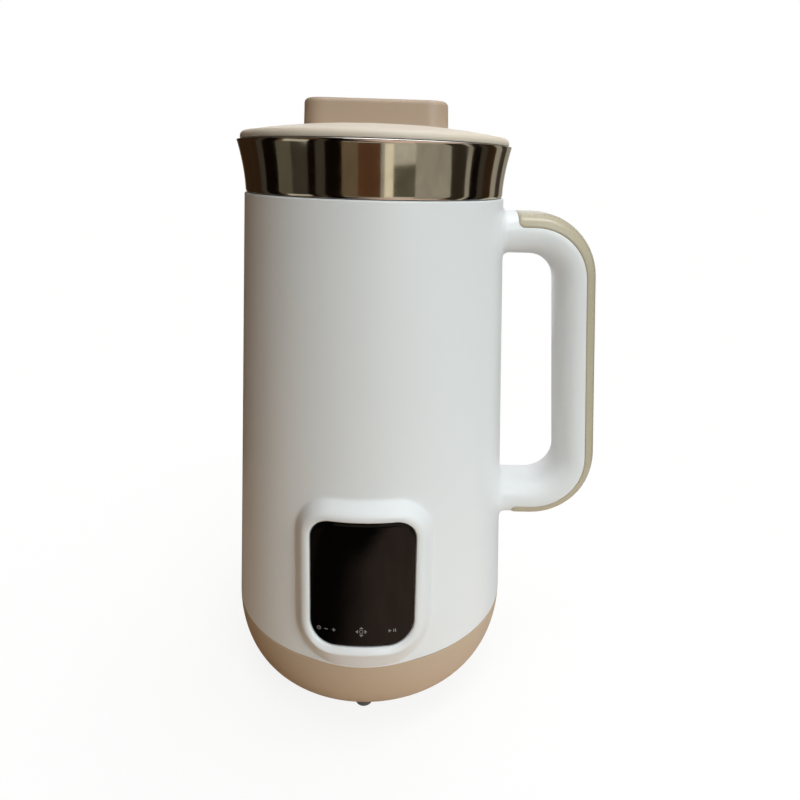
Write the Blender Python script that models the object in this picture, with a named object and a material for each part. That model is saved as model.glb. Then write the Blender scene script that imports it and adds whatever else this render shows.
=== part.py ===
"""Nut milk maker: a tapered jug with a steel pot, a lift-off lid and a blade driven from below.

The origin is on the jug's axis, in the plane of the bottom cover's flat underside. +Z is up, the
touch panel faces -Y and the handle is on +X. All lengths are in metres.
"""

import math

import bmesh
import bpy
from mathutils import Matrix, Vector

# Clearances
SEAT = 0.0003            # between faces that touch
RUN = 0.0001             # between a turning shaft and its bore
OVERRUN = 0.0020         # how far a cutter passes the face it opens

# Facets
WIDE_SIDES = 36
MIDDLE_SIDES = 16
SMALL_SIDES = 8
HUB_STEPS = 4
BASE_STEPS = 7
BASE_INNER_STEPS = 4
COLLAR_STEPS = 4
NECK_STEPS = 2
POT_CORNER_STEPS = 3
HEATER_STEPS = 20
HEATER_BEND_STEPS = 4
MAGNET_STEPS = 12
TOOTH_STEPS = 3
SHARP_ANGLE = math.radians(35)

# Outer shell
SPLIT_HEIGHT = 0.0302    # joint between the base and the shell
SHELL_HEIGHT = 0.1888
SHELL_TOP_RADIUS = 0.0560
SHELL_FLARE = 0.0081     # radius gained from the top edge to the joint
SHELL_WALL = 0.0025
SHELL_EDGE_ROUND = 0.0008
FLANGE_THICKNESS = 0.0030
GROOVE_DEPTH = 0.0012
GROOVE_LAND = 0.0009     # solid rim on each side of the gasket groove

# Base shell
BASE_ROUND_WIDTH = 0.0169
BASE_WALL = 0.0025
LAP_HEIGHT = 0.0040
LAP_WALL = 0.0016
LEDGE_WIDTH = 0.0103
COVER_RIM_WIDTH = 0.0060     # flat ring outside the bottom cover
COVER_THICKNESS = 0.0025
COVER_BOSS_RADIUS = 0.0038
COVER_BOSS_HEIGHT = 0.0080
COVER_SCREWS = 3

# Bottom cover
VENT_COUNT = 12
VENT_WIDTH = 0.0022
VENT_INNER_RADIUS = 0.0120
VENT_LENGTH = 0.0150

# Screws
SCREW_CROWN_SHARE = 0.8
TAPPING_SHANK = 0.0015
TAPPING_HEAD = 0.0030
TAPPING_HEAD_HEIGHT = 0.0016
TAPPING_LENGTH = 0.0090
HANDLE_SHANK = 0.0020
HANDLE_HEAD = 0.0036
HANDLE_HEAD_HEIGHT = 0.0018
HANDLE_SCREW_REACH = 0.0100

# Feet
FOOT_RADIUS = 0.0040
FOOT_DROP = 0.0030
FOOT_SINK = 0.0012
FOOT_CHAMFER = 0.0010
FOOT_OUT = 0.0002        # centre of a foot outside the base's flat underside
NIPPLE_RADIUS = 0.0015
NIPPLE_HEAD = 0.0022
NIPPLE_HEAD_HEIGHT = 0.0015

# Steel pot
POT_WALL = 0.0008
POT_AIR_GAP = 0.0035     # between the pot and the shell
POT_CORNER = 0.0110
COLLAR_RISE = 0.0213
COLLAR_INSET = 0.0005    # the collar's foot inside the shell's edge
COLLAR_FLARE = 0.0030
COLLAR_CURVE_SHARE = 1.8
COLLAR_SEAT = 0.0004
SHOULDER_ROUND = 0.0008

# Under the pot
HEAT_PLATE_THICKNESS = 0.0020
HEATER_TUBE_RADIUS = 0.0032
HEATER_INSET_SHARE = 0.325       # of the way from the plate's rim to the seat nut
HEATER_GAP_ANGLE = math.radians(50)
HEATER_BEND = 0.0060
HEATER_TAIL = 0.0060
SENSOR_FLANGE_SHARE = 0.67       # of the room between the seat nut and the heating ring
SENSOR_STEM_SHARE = 0.55         # of the flange
SENSOR_FLANGE_THICKNESS = 0.0015
SENSOR_LENGTH = 0.0110

# Overflow probe
PROBE_RADIUS = 0.0012
PROBE_REACH = 0.0100
PROBE_BELOW_SHOULDER = 0.0240
PROBE_TAIL = 0.0006
BUSH_NECK = 0.0025
BUSH_FLANGE = 0.0042
BUSH_FLANGE_THICKNESS = 0.0016

# Shaft seat
SEAT_NECK_RADIUS = 0.0094
SEAT_FLANGE_RADIUS = 0.0135
SEAT_FLANGE_HEIGHT = 0.0035
SEAT_NECK_LENGTH = 0.0085
NUT_ACROSS_FLATS = 0.0250
NUT_THICKNESS = 0.0040
BUSH_WALL = 0.0020
SEAL_RADIUS = 0.0062
SEAL_THICKNESS = 0.0022

# Blades and shafts
SHAFT_RADIUS = 0.0030
BLADE_STUB_RADIUS = 0.0022
SHAFT_SHOULDER_RADIUS = 0.0045
SHAFT_SHOULDER_HEIGHT = 0.0020
BLADE_THICKNESS = 0.0010
BLADE_HUB_RADIUS = 0.0070
BLADE_SPAN = 0.0230
BLADE_WIDTH = 0.0080
BLADE_TIP_SHARE = 0.55
BLADE_EDGE = 0.0003
BLADE_UP_ANGLE = math.radians(32)
BLADE_DOWN_ANGLE = math.radians(8)
BLADE_COUNT = 4
BLADE_NUT_RADIUS = 0.0042
BLADE_NUT_HEIGHT = 0.0060
COUPLING_RADIUS = 0.0080
COUPLING_HEIGHT = 0.0100

# Motor
MOTOR_RADIUS = 0.0220
MOTOR_WALL = 0.0014
MOTOR_LENGTH = 0.0560
END_CAP_THICKNESS = 0.0060
MOTOR_FLOOR_SPACE = 0.0090   # between the bottom cover and the end cap's boss
BEARING_RADIUS = 0.0080
BEARING_WIDTH = 0.0050
MAGNET_THICKNESS = 0.0026
MAGNET_ANGLE = math.radians(140)
ARMATURE_AIR_GAP = 0.0006
ARMATURE_LENGTH = 0.0260
ARMATURE_TEETH = 8
ARMATURE_SLOT_DEPTH = 0.0070
ARMATURE_SLOT_WIDTH = 0.0030
COMMUTATOR_RADIUS = 0.0080
COMMUTATOR_LENGTH = 0.0080
FAN_THICKNESS = 0.0010
FAN_HEIGHT = 0.0060
FAN_VANES = 6
FAN_VANE_WIDTH = 0.0010
FAN_HUB_RADIUS = 0.0055
ROTOR_SPACE = 0.0020         # free length beside the fan and the commutator
MOTOR_WINDOW_WIDTH = 0.0120
MOTOR_WINDOW_HEIGHT = 0.0060

# Motor bracket
BRACKET_ARMS = 3
BRACKET_THICKNESS = 0.0030
BRACKET_HUB_RADIUS = 0.0260
BRACKET_ARM_WIDTH = 0.0120
BRACKET_EDGE_GAP = 0.0010    # from an arm's end to the shell
BRACKET_BOSS_RADIUS = 0.0042
BRACKET_BOSS_HEIGHT = 0.0090
BRACKET_HOLE_INSET = 0.0050  # from an arm's end to its screw
COUPLING_FLOOR_SPACE = 0.0010

# Touch panel
GLASS_WIDTH = 0.0420
GLASS_HEIGHT = 0.0539
GLASS_ABOVE_SPLIT = 0.0122
GLASS_TOP_CORNER = 0.0080
GLASS_BOTTOM_CORNER = 0.0125
GLASS_THICKNESS = 0.0025
GLASS_SINK = 0.0004          # glass face below the lip
GLASS_COLUMNS = 20
LIP_WIDTH = 0.0021
HOUSING_RISE = 0.0045
HOUSING_SIDE_SLOPE = 0.0055
HOUSING_TOP_SLOPE = 0.0085
HOUSING_FOOT_GAP = 0.0004    # from the housing's slope to the joint
HOUSING_ROOT = 0.0012        # how deep the housing is rooted in the wall
SLOPE_SHARES = (0.12, 0.3, 0.5, 0.7, 0.85, 1.0)
INNER_RING_SHARES = (1.0, 0.7, 0.35)
CORNER_STEPS = 5
WINDOW_MARGIN = 0.0040       # glass border left on the shell's wall
CONTROL_BOARD_THICKNESS = 0.0016
CONTROL_BOARD_MARGIN = 0.0020
STANDOFF_RADIUS = 0.0022
STANDOFF_INSET = 0.0035
DISPLAY_MARGIN = 0.0020      # from the display block to the window's edge

# Power board
POWER_BOARD_WIDTH = 0.0480
POWER_BOARD_HEIGHT = 0.0400
POWER_BOARD_THICKNESS = 0.0016
POWER_BOARD_LIFT = 0.0040    # above the lap joint
RAIL_THICKNESS = 0.0015
RAIL_GRIP = 0.0025           # how far a rail reaches over the board's edge
TRANSFORMER_SIZE = (0.0110, 0.0200, 0.0180)

# Power inlet
INLET_WIDTH = 0.0270
INLET_HEIGHT = 0.0198
INLET_DEPTH = 0.0180
INLET_WALL = 0.0014
INLET_CHAMFER = 0.0045
INLET_FLANGE = 0.0020
INLET_FLANGE_THICKNESS = 0.0015
INLET_ABOVE_SPLIT = 0.0220
PIN_WIDTH = 0.0020
PIN_HEIGHT = 0.0040
PIN_PITCH = 0.0070
PIN_STAGGER = 0.0020
PIN_TIP_DEPTH = 0.0030       # pin tips behind the inlet's mouth
PIN_TAIL = 0.0050
PAD_MARGIN = 0.0030
PAD_DEPTH = 0.0040

# Handle
HANDLE_TOP = 0.0147          # top arm's centre line below the shell's top edge
HANDLE_HEIGHT = 0.1259       # between the arms' centre lines
HANDLE_REACH_TOP = 0.0322    # from the jug's wall to the grip's centre line
HANDLE_REACH_BOTTOM = 0.0364
HANDLE_THICKNESS = 0.0192
HANDLE_DEPTH = 0.0280
HANDLE_BEND = 0.0160
HANDLE_BEND_STEPS = 5
HANDLE_ROUND_SHARE = 2.3     # exponent of the grip's oval section
HANDLE_SIDES = 16
HANDLE_FLARE = 0.0028        # fillet where the arms meet the wall
HANDLE_FLARE_STEPS = 3
FLARE_END_SHARE = 0.98       # the fillet stops just short of a full quarter
GRIP_WIDTH = 0.0200
GRIP_FLOOR = 0.0045          # seat of the grip strip above the section's middle
GRIP_START_TOP = 0.0055      # from the wall to the strip's end on the top arm
GRIP_START_BOTTOM = 0.0050
GRIP_ARC_STEPS = 6

# Lid
LID_INSET = 0.0014           # the cover's edge inside the rim
LID_EDGE_HEIGHT = 0.0042
LID_CROWN = 0.0030           # dome's centre above its shoulder
LID_EDGE_ROUND = 0.0026
LID_WALL = 0.0025
LID_DOME_STEPS = 4
LID_EDGE_STEPS = 3
LINER_WALL = 0.0018
LINER_SIDE_GAP = 0.0007
LINER_PLUG_DEPTH = 0.0140
LINER_SHELF = 0.0032         # the liner's flange above the pot's shoulder
SEAL_SIDE_GAP = 0.0004
KNOB_LENGTH = 0.0615
KNOB_DEPTH = 0.0230
KNOB_HEIGHT = 0.0112         # above the dome's centre
KNOB_CORNER = 0.0070
KNOB_EDGE = 0.0026
KNOB_EDGE_STEPS = 3
KNOB_SCREW_SPACING = 0.0360
KNOB_SCREW_LENGTH = 0.0080
VENT_HOLE_RADIUS = 0.0013
VENT_HOLE_PITCH = 0.0060
VENT_HOLES_BEHIND = 0.0060   # from the knob's back to the vent holes
MAGNET_SIZE = (0.0080, 0.0030, 0.0060)
SWITCH_SIZE = (0.0100, 0.0020, 0.0120)

# Levels and radii that follow from the sizes above
SHELL_BOTTOM = SPLIT_HEIGHT + SEAT
SHELL_TOP = SHELL_BOTTOM + SHELL_HEIGHT
BASE_FLAT_RADIUS = SHELL_TOP_RADIUS + SHELL_FLARE - BASE_ROUND_WIDTH
COVER_SEAT_RADIUS = BASE_FLAT_RADIUS - COVER_RIM_WIDTH
COVER_RADIUS = COVER_SEAT_RADIUS - SEAT
COVER_SCREW_CIRCLE = COVER_SEAT_RADIUS - LEDGE_WIDTH / 2
LEDGE_BOTTOM = COVER_THICKNESS + SEAT
LEDGE_TOP = LEDGE_BOTTOM + BASE_WALL
POT_RADIUS = SHELL_TOP_RADIUS - SHELL_WALL - POT_AIR_GAP
POT_SHOULDER = SHELL_TOP + COLLAR_SEAT
POT_INNER_RADIUS = POT_RADIUS - POT_WALL
FLANGE_INNER_RADIUS = POT_RADIUS + SHOULDER_ROUND + SEAT
COLLAR_RADIUS = SHELL_TOP_RADIUS - COLLAR_INSET
RIM_RADIUS = COLLAR_RADIUS + COLLAR_FLARE
RIM_HEIGHT = SHELL_TOP + COLLAR_RISE
MOTOR_BOTTOM = COVER_THICKNESS + MOTOR_FLOOR_SPACE + BEARING_WIDTH + END_CAP_THICKNESS
MOTOR_TOP = MOTOR_BOTTOM + MOTOR_LENGTH
BEARING_CUP_RADIUS = BEARING_RADIUS + SEAT + MOTOR_WALL
BRACKET_BOTTOM = MOTOR_TOP + SEAT
BRACKET_TOP = BRACKET_BOTTOM + BRACKET_THICKNESS
MOTOR_CUP_TOP = MOTOR_TOP + BEARING_WIDTH
COUPLING_BOTTOM = MOTOR_CUP_TOP + COUPLING_FLOOR_SPACE
COUPLING_TOP = COUPLING_BOTTOM + COUPLING_HEIGHT
POT_BOTTOM = COUPLING_TOP + SEAT + SEAT_NECK_LENGTH
POT_FLOOR = POT_BOTTOM + POT_WALL
SEAT_TOP = POT_FLOOR + SEAT + SEAT_FLANGE_HEIGHT
SHAFT_JOIN = (COUPLING_BOTTOM + COUPLING_TOP) / 2
BLADE_SEAT = SEAT_TOP + RUN + SHAFT_SHOULDER_HEIGHT
LOWER_BLADE = BLADE_SEAT + SEAT
UPPER_BLADE = LOWER_BLADE + BLADE_THICKNESS + SEAT
BLADE_STACK_TOP = UPPER_BLADE + BLADE_THICKNESS
BORE_RADIUS = SHAFT_RADIUS + RUN
HEAT_PLATE_TOP = POT_BOTTOM - SEAT
HEAT_PLATE_BOTTOM = HEAT_PLATE_TOP - HEAT_PLATE_THICKNESS
HEAT_PLATE_RADIUS = POT_RADIUS - POT_CORNER
NUT_RADIUS = NUT_ACROSS_FLATS / math.sqrt(3)
HEATER_CIRCLE = HEAT_PLATE_RADIUS - HEATER_INSET_SHARE * (HEAT_PLATE_RADIUS - NUT_RADIUS)
HEATER_LEVEL = HEAT_PLATE_BOTTOM - SEAT - HEATER_TUBE_RADIUS
SENSOR_ROOM = HEATER_CIRCLE - HEATER_TUBE_RADIUS - NUT_RADIUS
SENSOR_CIRCLE = NUT_RADIUS + SENSOR_ROOM / 2
SENSOR_FLANGE = SENSOR_FLANGE_SHARE * SENSOR_ROOM / 2
SENSOR_RADIUS = SENSOR_STEM_SHARE * SENSOR_FLANGE
MOTOR_INNER_RADIUS = MOTOR_RADIUS - MOTOR_WALL
MAGNET_OUTER_RADIUS = MOTOR_INNER_RADIUS * math.cos(math.pi / MIDDLE_SIDES) - SEAT
MAGNET_INNER_RADIUS = MAGNET_OUTER_RADIUS - MAGNET_THICKNESS
ARMATURE_RADIUS = MAGNET_INNER_RADIUS - ARMATURE_AIR_GAP
ROTOR_LOW = MOTOR_BOTTOM + ROTOR_SPACE
ARMATURE_LOW = ROTOR_LOW + COMMUTATOR_LENGTH + ROTOR_SPACE
ARMATURE_HIGH = ARMATURE_LOW + ARMATURE_LENGTH
FAN_LOW = ARMATURE_HIGH + ROTOR_SPACE
GLASS_BOTTOM = SPLIT_HEIGHT + GLASS_ABOVE_SPLIT
GLASS_TOP = GLASS_BOTTOM + GLASS_HEIGHT
GLASS_MIDDLE = (GLASS_BOTTOM + GLASS_TOP) / 2
GLASS_FACE = HOUSING_RISE - GLASS_SINK
GLASS_BACK = GLASS_FACE - GLASS_THICKNESS
HANDLE_TOP_LEVEL = SHELL_TOP - HANDLE_TOP
HANDLE_BOTTOM_LEVEL = HANDLE_TOP_LEVEL - HANDLE_HEIGHT
INLET_LEVEL = SPLIT_HEIGHT + INLET_ABOVE_SPLIT
LID_RADIUS = RIM_RADIUS - LID_INSET
LID_BOTTOM = RIM_HEIGHT + SEAT
LID_SHOULDER = LID_BOTTOM + LID_EDGE_HEIGHT + LID_WALL / 4
LID_TOP = LID_SHOULDER + LID_CROWN
LINER_TOP = LID_BOTTOM - SEAT
LINER_FLANGE_LEVEL = POT_SHOULDER + POT_WALL + LINER_SHELF
LINER_RADIUS = COLLAR_RADIUS - POT_WALL - LINER_SIDE_GAP
LINER_PLUG_RADIUS = POT_INNER_RADIUS - LINER_SIDE_GAP
LINER_BOTTOM = LINER_FLANGE_LEVEL - LINER_SHELF - LINER_PLUG_DEPTH
KNOB_TOP = LID_TOP + KNOB_HEIGHT

# Finishes: colour, roughness, metallic
WHITE_PLASTIC = ((0.83, 0.83, 0.82), 0.38, 0.0)
TAN_PLASTIC = ((0.51, 0.37, 0.26), 0.50, 0.0)
BEIGE_PLASTIC = ((0.62, 0.50, 0.40), 0.45, 0.0)
DARK_PLASTIC = ((0.05, 0.05, 0.05), 0.50, 0.0)
BLACK_GLASS = ((0.01, 0.01, 0.01), 0.05, 0.0)
POLISHED_STEEL = ((0.72, 0.71, 0.69), 0.08, 1.0)
BRUSHED_STEEL = ((0.60, 0.60, 0.60), 0.30, 1.0)
ALUMINIUM = ((0.76, 0.76, 0.77), 0.35, 1.0)
BRONZE = ((0.55, 0.38, 0.18), 0.40, 1.0)
COPPER = ((0.72, 0.37, 0.22), 0.30, 1.0)
BRASS = ((0.78, 0.60, 0.28), 0.25, 1.0)
FERRITE = ((0.10, 0.10, 0.11), 0.70, 0.0)
CLEAR_SILICONE = ((0.80, 0.80, 0.78), 0.60, 0.0)
GREY_RUBBER = ((0.20, 0.20, 0.20), 0.80, 0.0)
BOARD_GREEN = ((0.03, 0.20, 0.08), 0.50, 0.0)


# Scene and object helpers

def clear_scene():
    for item in list(bpy.data.objects):
        bpy.data.objects.remove(item)


def finish_material(name, finish):
    colour, roughness, metallic = finish
    material = bpy.data.materials.new(name)
    material.use_nodes = True
    shader = material.node_tree.nodes["Principled BSDF"]
    shader.inputs["Base Color"].default_value = (*colour, 1.0)
    shader.inputs["Roughness"].default_value = roughness
    shader.inputs["Metallic"].default_value = metallic
    material.diffuse_color = (*colour, 1.0)
    return material


def add_object(name, shape, finish=None):
    """Make an object of a bmesh. One without a finish is a tool for a Boolean and isn't shown."""
    bmesh.ops.recalc_face_normals(shape, faces=shape.faces)
    mesh = bpy.data.meshes.new(name)
    shape.to_mesh(mesh)
    shape.free()
    mesh.shade_smooth()
    mesh.set_sharp_from_angle(angle=SHARP_ANGLE)
    item = bpy.data.objects.new(name, mesh)
    bpy.context.scene.collection.objects.link(item)
    if finish is None:
        item.hide_render = True
        item.display_type = "WIRE"
    else:
        mesh.materials.append(finish_material(name, finish))
    return item


def combine(item, tool, operation, solver):
    step = item.modifiers.new(tool.name, "BOOLEAN")
    step.object = tool
    step.operation = operation
    step.solver = solver


def carve(item, *tools, solver="EXACT"):
    for tool in tools:
        combine(item, tool, "DIFFERENCE", solver)


def fuse(item, *tools, solver="EXACT"):
    for tool in tools:
        combine(item, tool, "UNION", solver)


def joint_empty(name, location, children):
    """Put an empty on a joint's axis and hang the moving pieces on it where they are."""
    empty = bpy.data.objects.new(name, None)
    empty.location = location
    empty.empty_display_size = SHELL_TOP_RADIUS
    bpy.context.scene.collection.objects.link(empty)
    for child in children:
        child.parent = empty
        child.matrix_parent_inverse = Matrix.Translation(location).inverted()
    return empty


# Shape helpers

def polar(radius, angle, height=0.0):
    return Vector((radius * math.cos(angle), radius * math.sin(angle), height))


def bridge(shape, first, second):
    """Join two rings of vertices by faces. A ring of one vertex is a point on the axis."""
    count = max(len(first), len(second))
    if count == 1:
        return
    for index in range(count):
        after = (index + 1) % count
        corners = []
        for ring, place in ((first, index), (first, after), (second, after), (second, index)):
            vertex = ring[place % len(ring)]
            if vertex not in corners:
                corners.append(vertex)
        shape.faces.new(corners)


def turned(profile, sides, matrix=None):
    """Turn a closed profile of (radius, height) points about Z."""
    shape = bmesh.new()
    rings = []
    for radius, height in profile:
        count = sides if radius > 0 else 1
        ring = [shape.verts.new(polar(radius, math.tau * step / sides, height)) for step in range(count)]
        rings.append(ring)
    for index, ring in enumerate(rings):
        bridge(shape, ring, rings[(index + 1) % len(rings)])
    if matrix:
        bmesh.ops.transform(shape, matrix=matrix, verts=shape.verts)
    return shape


def loft(sections):
    """Skin a row of sections that have equal counts of points, and cap both ends."""
    shape = bmesh.new()
    rings = [[shape.verts.new(point) for point in section] for section in sections]
    for first, second in zip(rings, rings[1:]):
        bridge(shape, first, second)
    shape.faces.new(rings[0])
    shape.faces.new(rings[-1])
    return shape


def prism(outline, low, high, matrix=None):
    """Extrude a flat outline from one height to another."""
    shape = loft([[Vector((x, y, low)) for x, y in outline], [Vector((x, y, high)) for x, y in outline]])
    if matrix:
        bmesh.ops.transform(shape, matrix=matrix, verts=shape.verts)
    return shape


def block(low, high):
    outline = [(low[0], low[1]), (high[0], low[1]), (high[0], high[1]), (low[0], high[1])]
    return prism(outline, low[2], high[2])


def placed(origin, direction):
    """A matrix that carries +Z to a direction, and the origin to a place."""
    turn = Vector(direction).to_track_quat("Z", "Y").to_matrix().to_4x4()
    return Matrix.Translation(origin) @ turn


def rod(radius, low, high, sides=SMALL_SIDES, matrix=None):
    return turned([(0, low), (radius, low), (radius, high), (0, high)], sides, matrix)


def ring_band(inner, outer, low, high, sides):
    return turned([(inner, low), (outer, low), (outer, high), (inner, high)], sides)


def merged(shapes):
    """Put several separate shapes into one mesh, for a cutter with many places."""
    whole = bmesh.new()
    for shape in shapes:
        mesh = bpy.data.meshes.new("merge")
        shape.to_mesh(mesh)
        shape.free()
        whole.from_mesh(mesh)
        bpy.data.meshes.remove(mesh)
    return whole


def arc_points(centre, radius, start, end, steps):
    return [
        (
            centre[0] + radius * math.cos(start + (end - start) * step / steps),
            centre[1] + radius * math.sin(start + (end - start) * step / steps),
        )
        for step in range(steps + 1)
    ]


def oval_arc(centre, width, drop, steps):
    """A quarter of an ellipse, from its outer end down to its lowest point."""
    points = []
    for step in range(steps + 1):
        angle = math.pi / 2 * step / steps
        points.append((centre[0] + width * math.cos(angle), centre[1] - drop * math.sin(angle)))
    return points


def rounded_outline(half_width, low, high, low_corner, high_corner, steps):
    """Anticlockwise rectangle, symmetric about x = 0, with its own radius at each end."""
    quarter = math.pi / 2
    outline = []
    for side, height, corner, start in (
        (1, low + low_corner, low_corner, -quarter),
        (1, high - high_corner, high_corner, 0.0),
        (-1, high - high_corner, high_corner, quarter),
        (-1, low + low_corner, low_corner, math.pi),
    ):
        centre = (side * (half_width - corner), height)
        outline.extend(arc_points(centre, corner, start, start + quarter, steps))
    return outline


def spoke_outline(count, hub_radius, tip_radius, width, first_angle):
    """Outline of a round hub with straight spokes."""
    outline = []
    half = width / 2
    root = math.sqrt(hub_radius ** 2 - half ** 2)
    root_angle = math.asin(half / hub_radius)
    for step in range(count):
        angle = first_angle + math.tau * step / count
        along = polar(1, angle)
        across = Vector((-along.y, along.x, 0))
        for reach, side in ((root, -half), (tip_radius, -half), (tip_radius, half)):
            point = along * reach + across * side
            outline.append((point.x, point.y))
        start = angle + root_angle
        end = angle + math.tau / count - root_angle
        outline.extend(arc_points((0, 0), hub_radius, start, end, HUB_STEPS)[:-1])
    return outline


def screw_shape(shank, head, head_height, length, matrix):
    """A pan-head screw: its head lies below z = 0 and its shank points up."""
    tip = shank / 2
    profile = [
        (0, -head_height),
        (head * SCREW_CROWN_SHARE, -head_height),
        (head, -head_height / 2),
        (head, 0),
        (shank, 0),
        (shank, length - tip),
        (tip, length),
        (0, length),
    ]
    return turned(profile, SMALL_SIDES, matrix)


# Outer shell

def shell_radius(height):
    """Outer radius of the tapered wall."""
    return SHELL_TOP_RADIUS + SHELL_FLARE * (SHELL_TOP - height) / SHELL_HEIGHT


def inner_radius(height):
    return shell_radius(height) - SHELL_WALL


def on_wall(across, height, offset):
    """A point of the panel: across is measured round the wall, offset outwards from it."""
    radius = shell_radius(height)
    angle = -math.pi / 2 + across / radius
    return polar(radius + offset, angle, height)


def bent_plate(margin, inner_offset, outer_offset):
    """A plate of the glass's outline, grown by a margin and curved with the wall."""
    half_width = GLASS_WIDTH / 2 + margin
    low = GLASS_BOTTOM - margin
    high = GLASS_TOP + margin
    low_corner = GLASS_BOTTOM_CORNER + margin
    high_corner = GLASS_TOP_CORNER + margin
    sections = []
    for step in range(GLASS_COLUMNS + 1):
        across = -half_width * math.cos(math.pi * step / GLASS_COLUMNS)
        bottom = low + corner_drop(across, half_width, low_corner)
        top = high - corner_drop(across, half_width, high_corner)
        sections.append([
            on_wall(across, bottom, outer_offset),
            on_wall(across, top, outer_offset),
            on_wall(across, top, inner_offset),
            on_wall(across, bottom, inner_offset),
        ])
    return loft(sections)


def corner_drop(across, half_width, corner):
    """How far a rounded corner draws an edge in, at a place across the plate."""
    beyond = max(abs(across) - (half_width - corner), 0.0)
    return corner - math.sqrt(max(corner ** 2 - beyond ** 2, 0.0))


def housing_shape():
    """The raised housing round the glass, lofted from its foot on the wall up to its lip."""
    lip = rounded_outline(
        GLASS_WIDTH / 2 + LIP_WIDTH,
        GLASS_BOTTOM - LIP_WIDTH,
        GLASS_TOP + LIP_WIDTH,
        GLASS_BOTTOM_CORNER + LIP_WIDTH,
        GLASS_TOP_CORNER + LIP_WIDTH,
        CORNER_STEPS,
    )
    foot = rounded_outline(
        GLASS_WIDTH / 2 + LIP_WIDTH + HOUSING_SIDE_SLOPE,
        SHELL_BOTTOM + HOUSING_FOOT_GAP,
        GLASS_TOP + LIP_WIDTH + HOUSING_TOP_SLOPE,
        GLASS_BOTTOM_CORNER + LIP_WIDTH + HOUSING_SIDE_SLOPE,
        GLASS_TOP_CORNER + LIP_WIDTH + HOUSING_SIDE_SLOPE,
        CORNER_STEPS,
    )
    slopes = []
    for share in SLOPE_SHARES:
        ring = [(a[0] + (b[0] - a[0]) * share, a[1] + (b[1] - a[1]) * share) for a, b in zip(foot, lip)]
        slopes.append((ring, HOUSING_RISE * share * share * (3 - 2 * share)))
    root = [(ring, -HOUSING_ROOT) for ring in inner_rings(slopes[0][0])]
    face = [(ring, HOUSING_RISE) for ring in inner_rings(lip)[1:]]
    rings = root[::-1] + slopes + face
    return loft([[on_wall(across, height, rise) for across, height in ring] for ring, rise in rings])


def inner_rings(outline):
    """An outline and smaller copies of it, so that a face filled through them follows the wall."""
    rings = []
    for share in INNER_RING_SHARES:
        ring = []
        for across, height in outline:
            ring.append((across * share, GLASS_MIDDLE + (height - GLASS_MIDDLE) * share))
        rings.append(ring)
    return rings


def shell_profile():
    flange_inner = FLANGE_INNER_RADIUS
    flange_bottom = SHELL_TOP - FLANGE_THICKNESS
    groove_floor = SHELL_TOP - GROOVE_DEPTH
    edge = SHELL_EDGE_ROUND
    return [
        (shell_radius(SHELL_BOTTOM), SHELL_BOTTOM),
        (shell_radius(SHELL_TOP - edge), SHELL_TOP - edge),
        (SHELL_TOP_RADIUS - edge * (1 - math.sqrt(0.5)), SHELL_TOP - edge * (1 - math.sqrt(0.5))),
        (SHELL_TOP_RADIUS - edge, SHELL_TOP),
        (SHELL_TOP_RADIUS - edge - GROOVE_LAND, SHELL_TOP),
        (SHELL_TOP_RADIUS - edge - GROOVE_LAND, groove_floor),
        (flange_inner + GROOVE_LAND, groove_floor),
        (flange_inner + GROOVE_LAND, SHELL_TOP),
        (flange_inner, SHELL_TOP),
        (flange_inner, flange_bottom),
        (inner_radius(flange_bottom), flange_bottom),
        (inner_radius(SHELL_BOTTOM), SHELL_BOTTOM),
    ]


def bracket_angles():
    return [math.pi / 2 + math.tau * step / BRACKET_ARMS for step in range(BRACKET_ARMS)]


def bracket_reach():
    """From the axis to the end of a bracket arm."""
    return inner_radius(BRACKET_TOP) - BRACKET_EDGE_GAP


def bracket_screw_circle():
    return bracket_reach() - BRACKET_HOLE_INSET


def bracket_bosses():
    low = BRACKET_TOP + SEAT
    high = low + BRACKET_BOSS_HEIGHT
    bosses = []
    for angle in bracket_angles():
        near = bracket_screw_circle()
        centre = polar(near, angle)
        wall = inner_radius(low) + SHELL_WALL / 2 - near
        stem = Matrix.Translation(centre) @ Matrix.Rotation(angle, 4, "Z")
        bosses.append(rod(BRACKET_BOSS_RADIUS, low, high, SMALL_SIDES, stem))
        half = BRACKET_BOSS_RADIUS / 2
        web = [(0, -half), (wall, -half), (wall, half), (0, half)]
        bosses.append(prism(web, low, high, stem))
    return bosses


def bracket_pilots():
    low = BRACKET_TOP + SEAT
    radius = TAPPING_SHANK + SEAT
    depth = TAPPING_LENGTH + SEAT
    return [
        rod(radius, low - OVERRUN, BRACKET_BOTTOM + depth, SMALL_SIDES,
            Matrix.Translation(polar(bracket_screw_circle(), angle)))
        for angle in bracket_angles()
    ]


def control_board_face():
    """Distance from the axis to the front face of the flat control board."""
    half = GLASS_WIDTH / 2 - CONTROL_BOARD_MARGIN
    return math.sqrt(inner_radius(GLASS_TOP) ** 2 - half ** 2) - 2 * SEAT


def standoff_places():
    half = GLASS_WIDTH / 2 - CONTROL_BOARD_MARGIN - STANDOFF_INSET
    low = GLASS_BOTTOM + CONTROL_BOARD_MARGIN + STANDOFF_INSET
    high = GLASS_TOP - CONTROL_BOARD_MARGIN - STANDOFF_INSET
    return [(side * half, level) for side in (-1, 1) for level in (low, high)]


def standoffs():
    shapes = []
    for across, level in standoff_places():
        root = math.sqrt(inner_radius(level) ** 2 - across ** 2) + SHELL_WALL / 2
        start = Vector((across, -root, level))
        length = root - control_board_face() - SEAT
        shapes.append(rod(STANDOFF_RADIUS, 0, length, SMALL_SIDES, placed(start, (0, 1, 0))))
    return shapes


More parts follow.
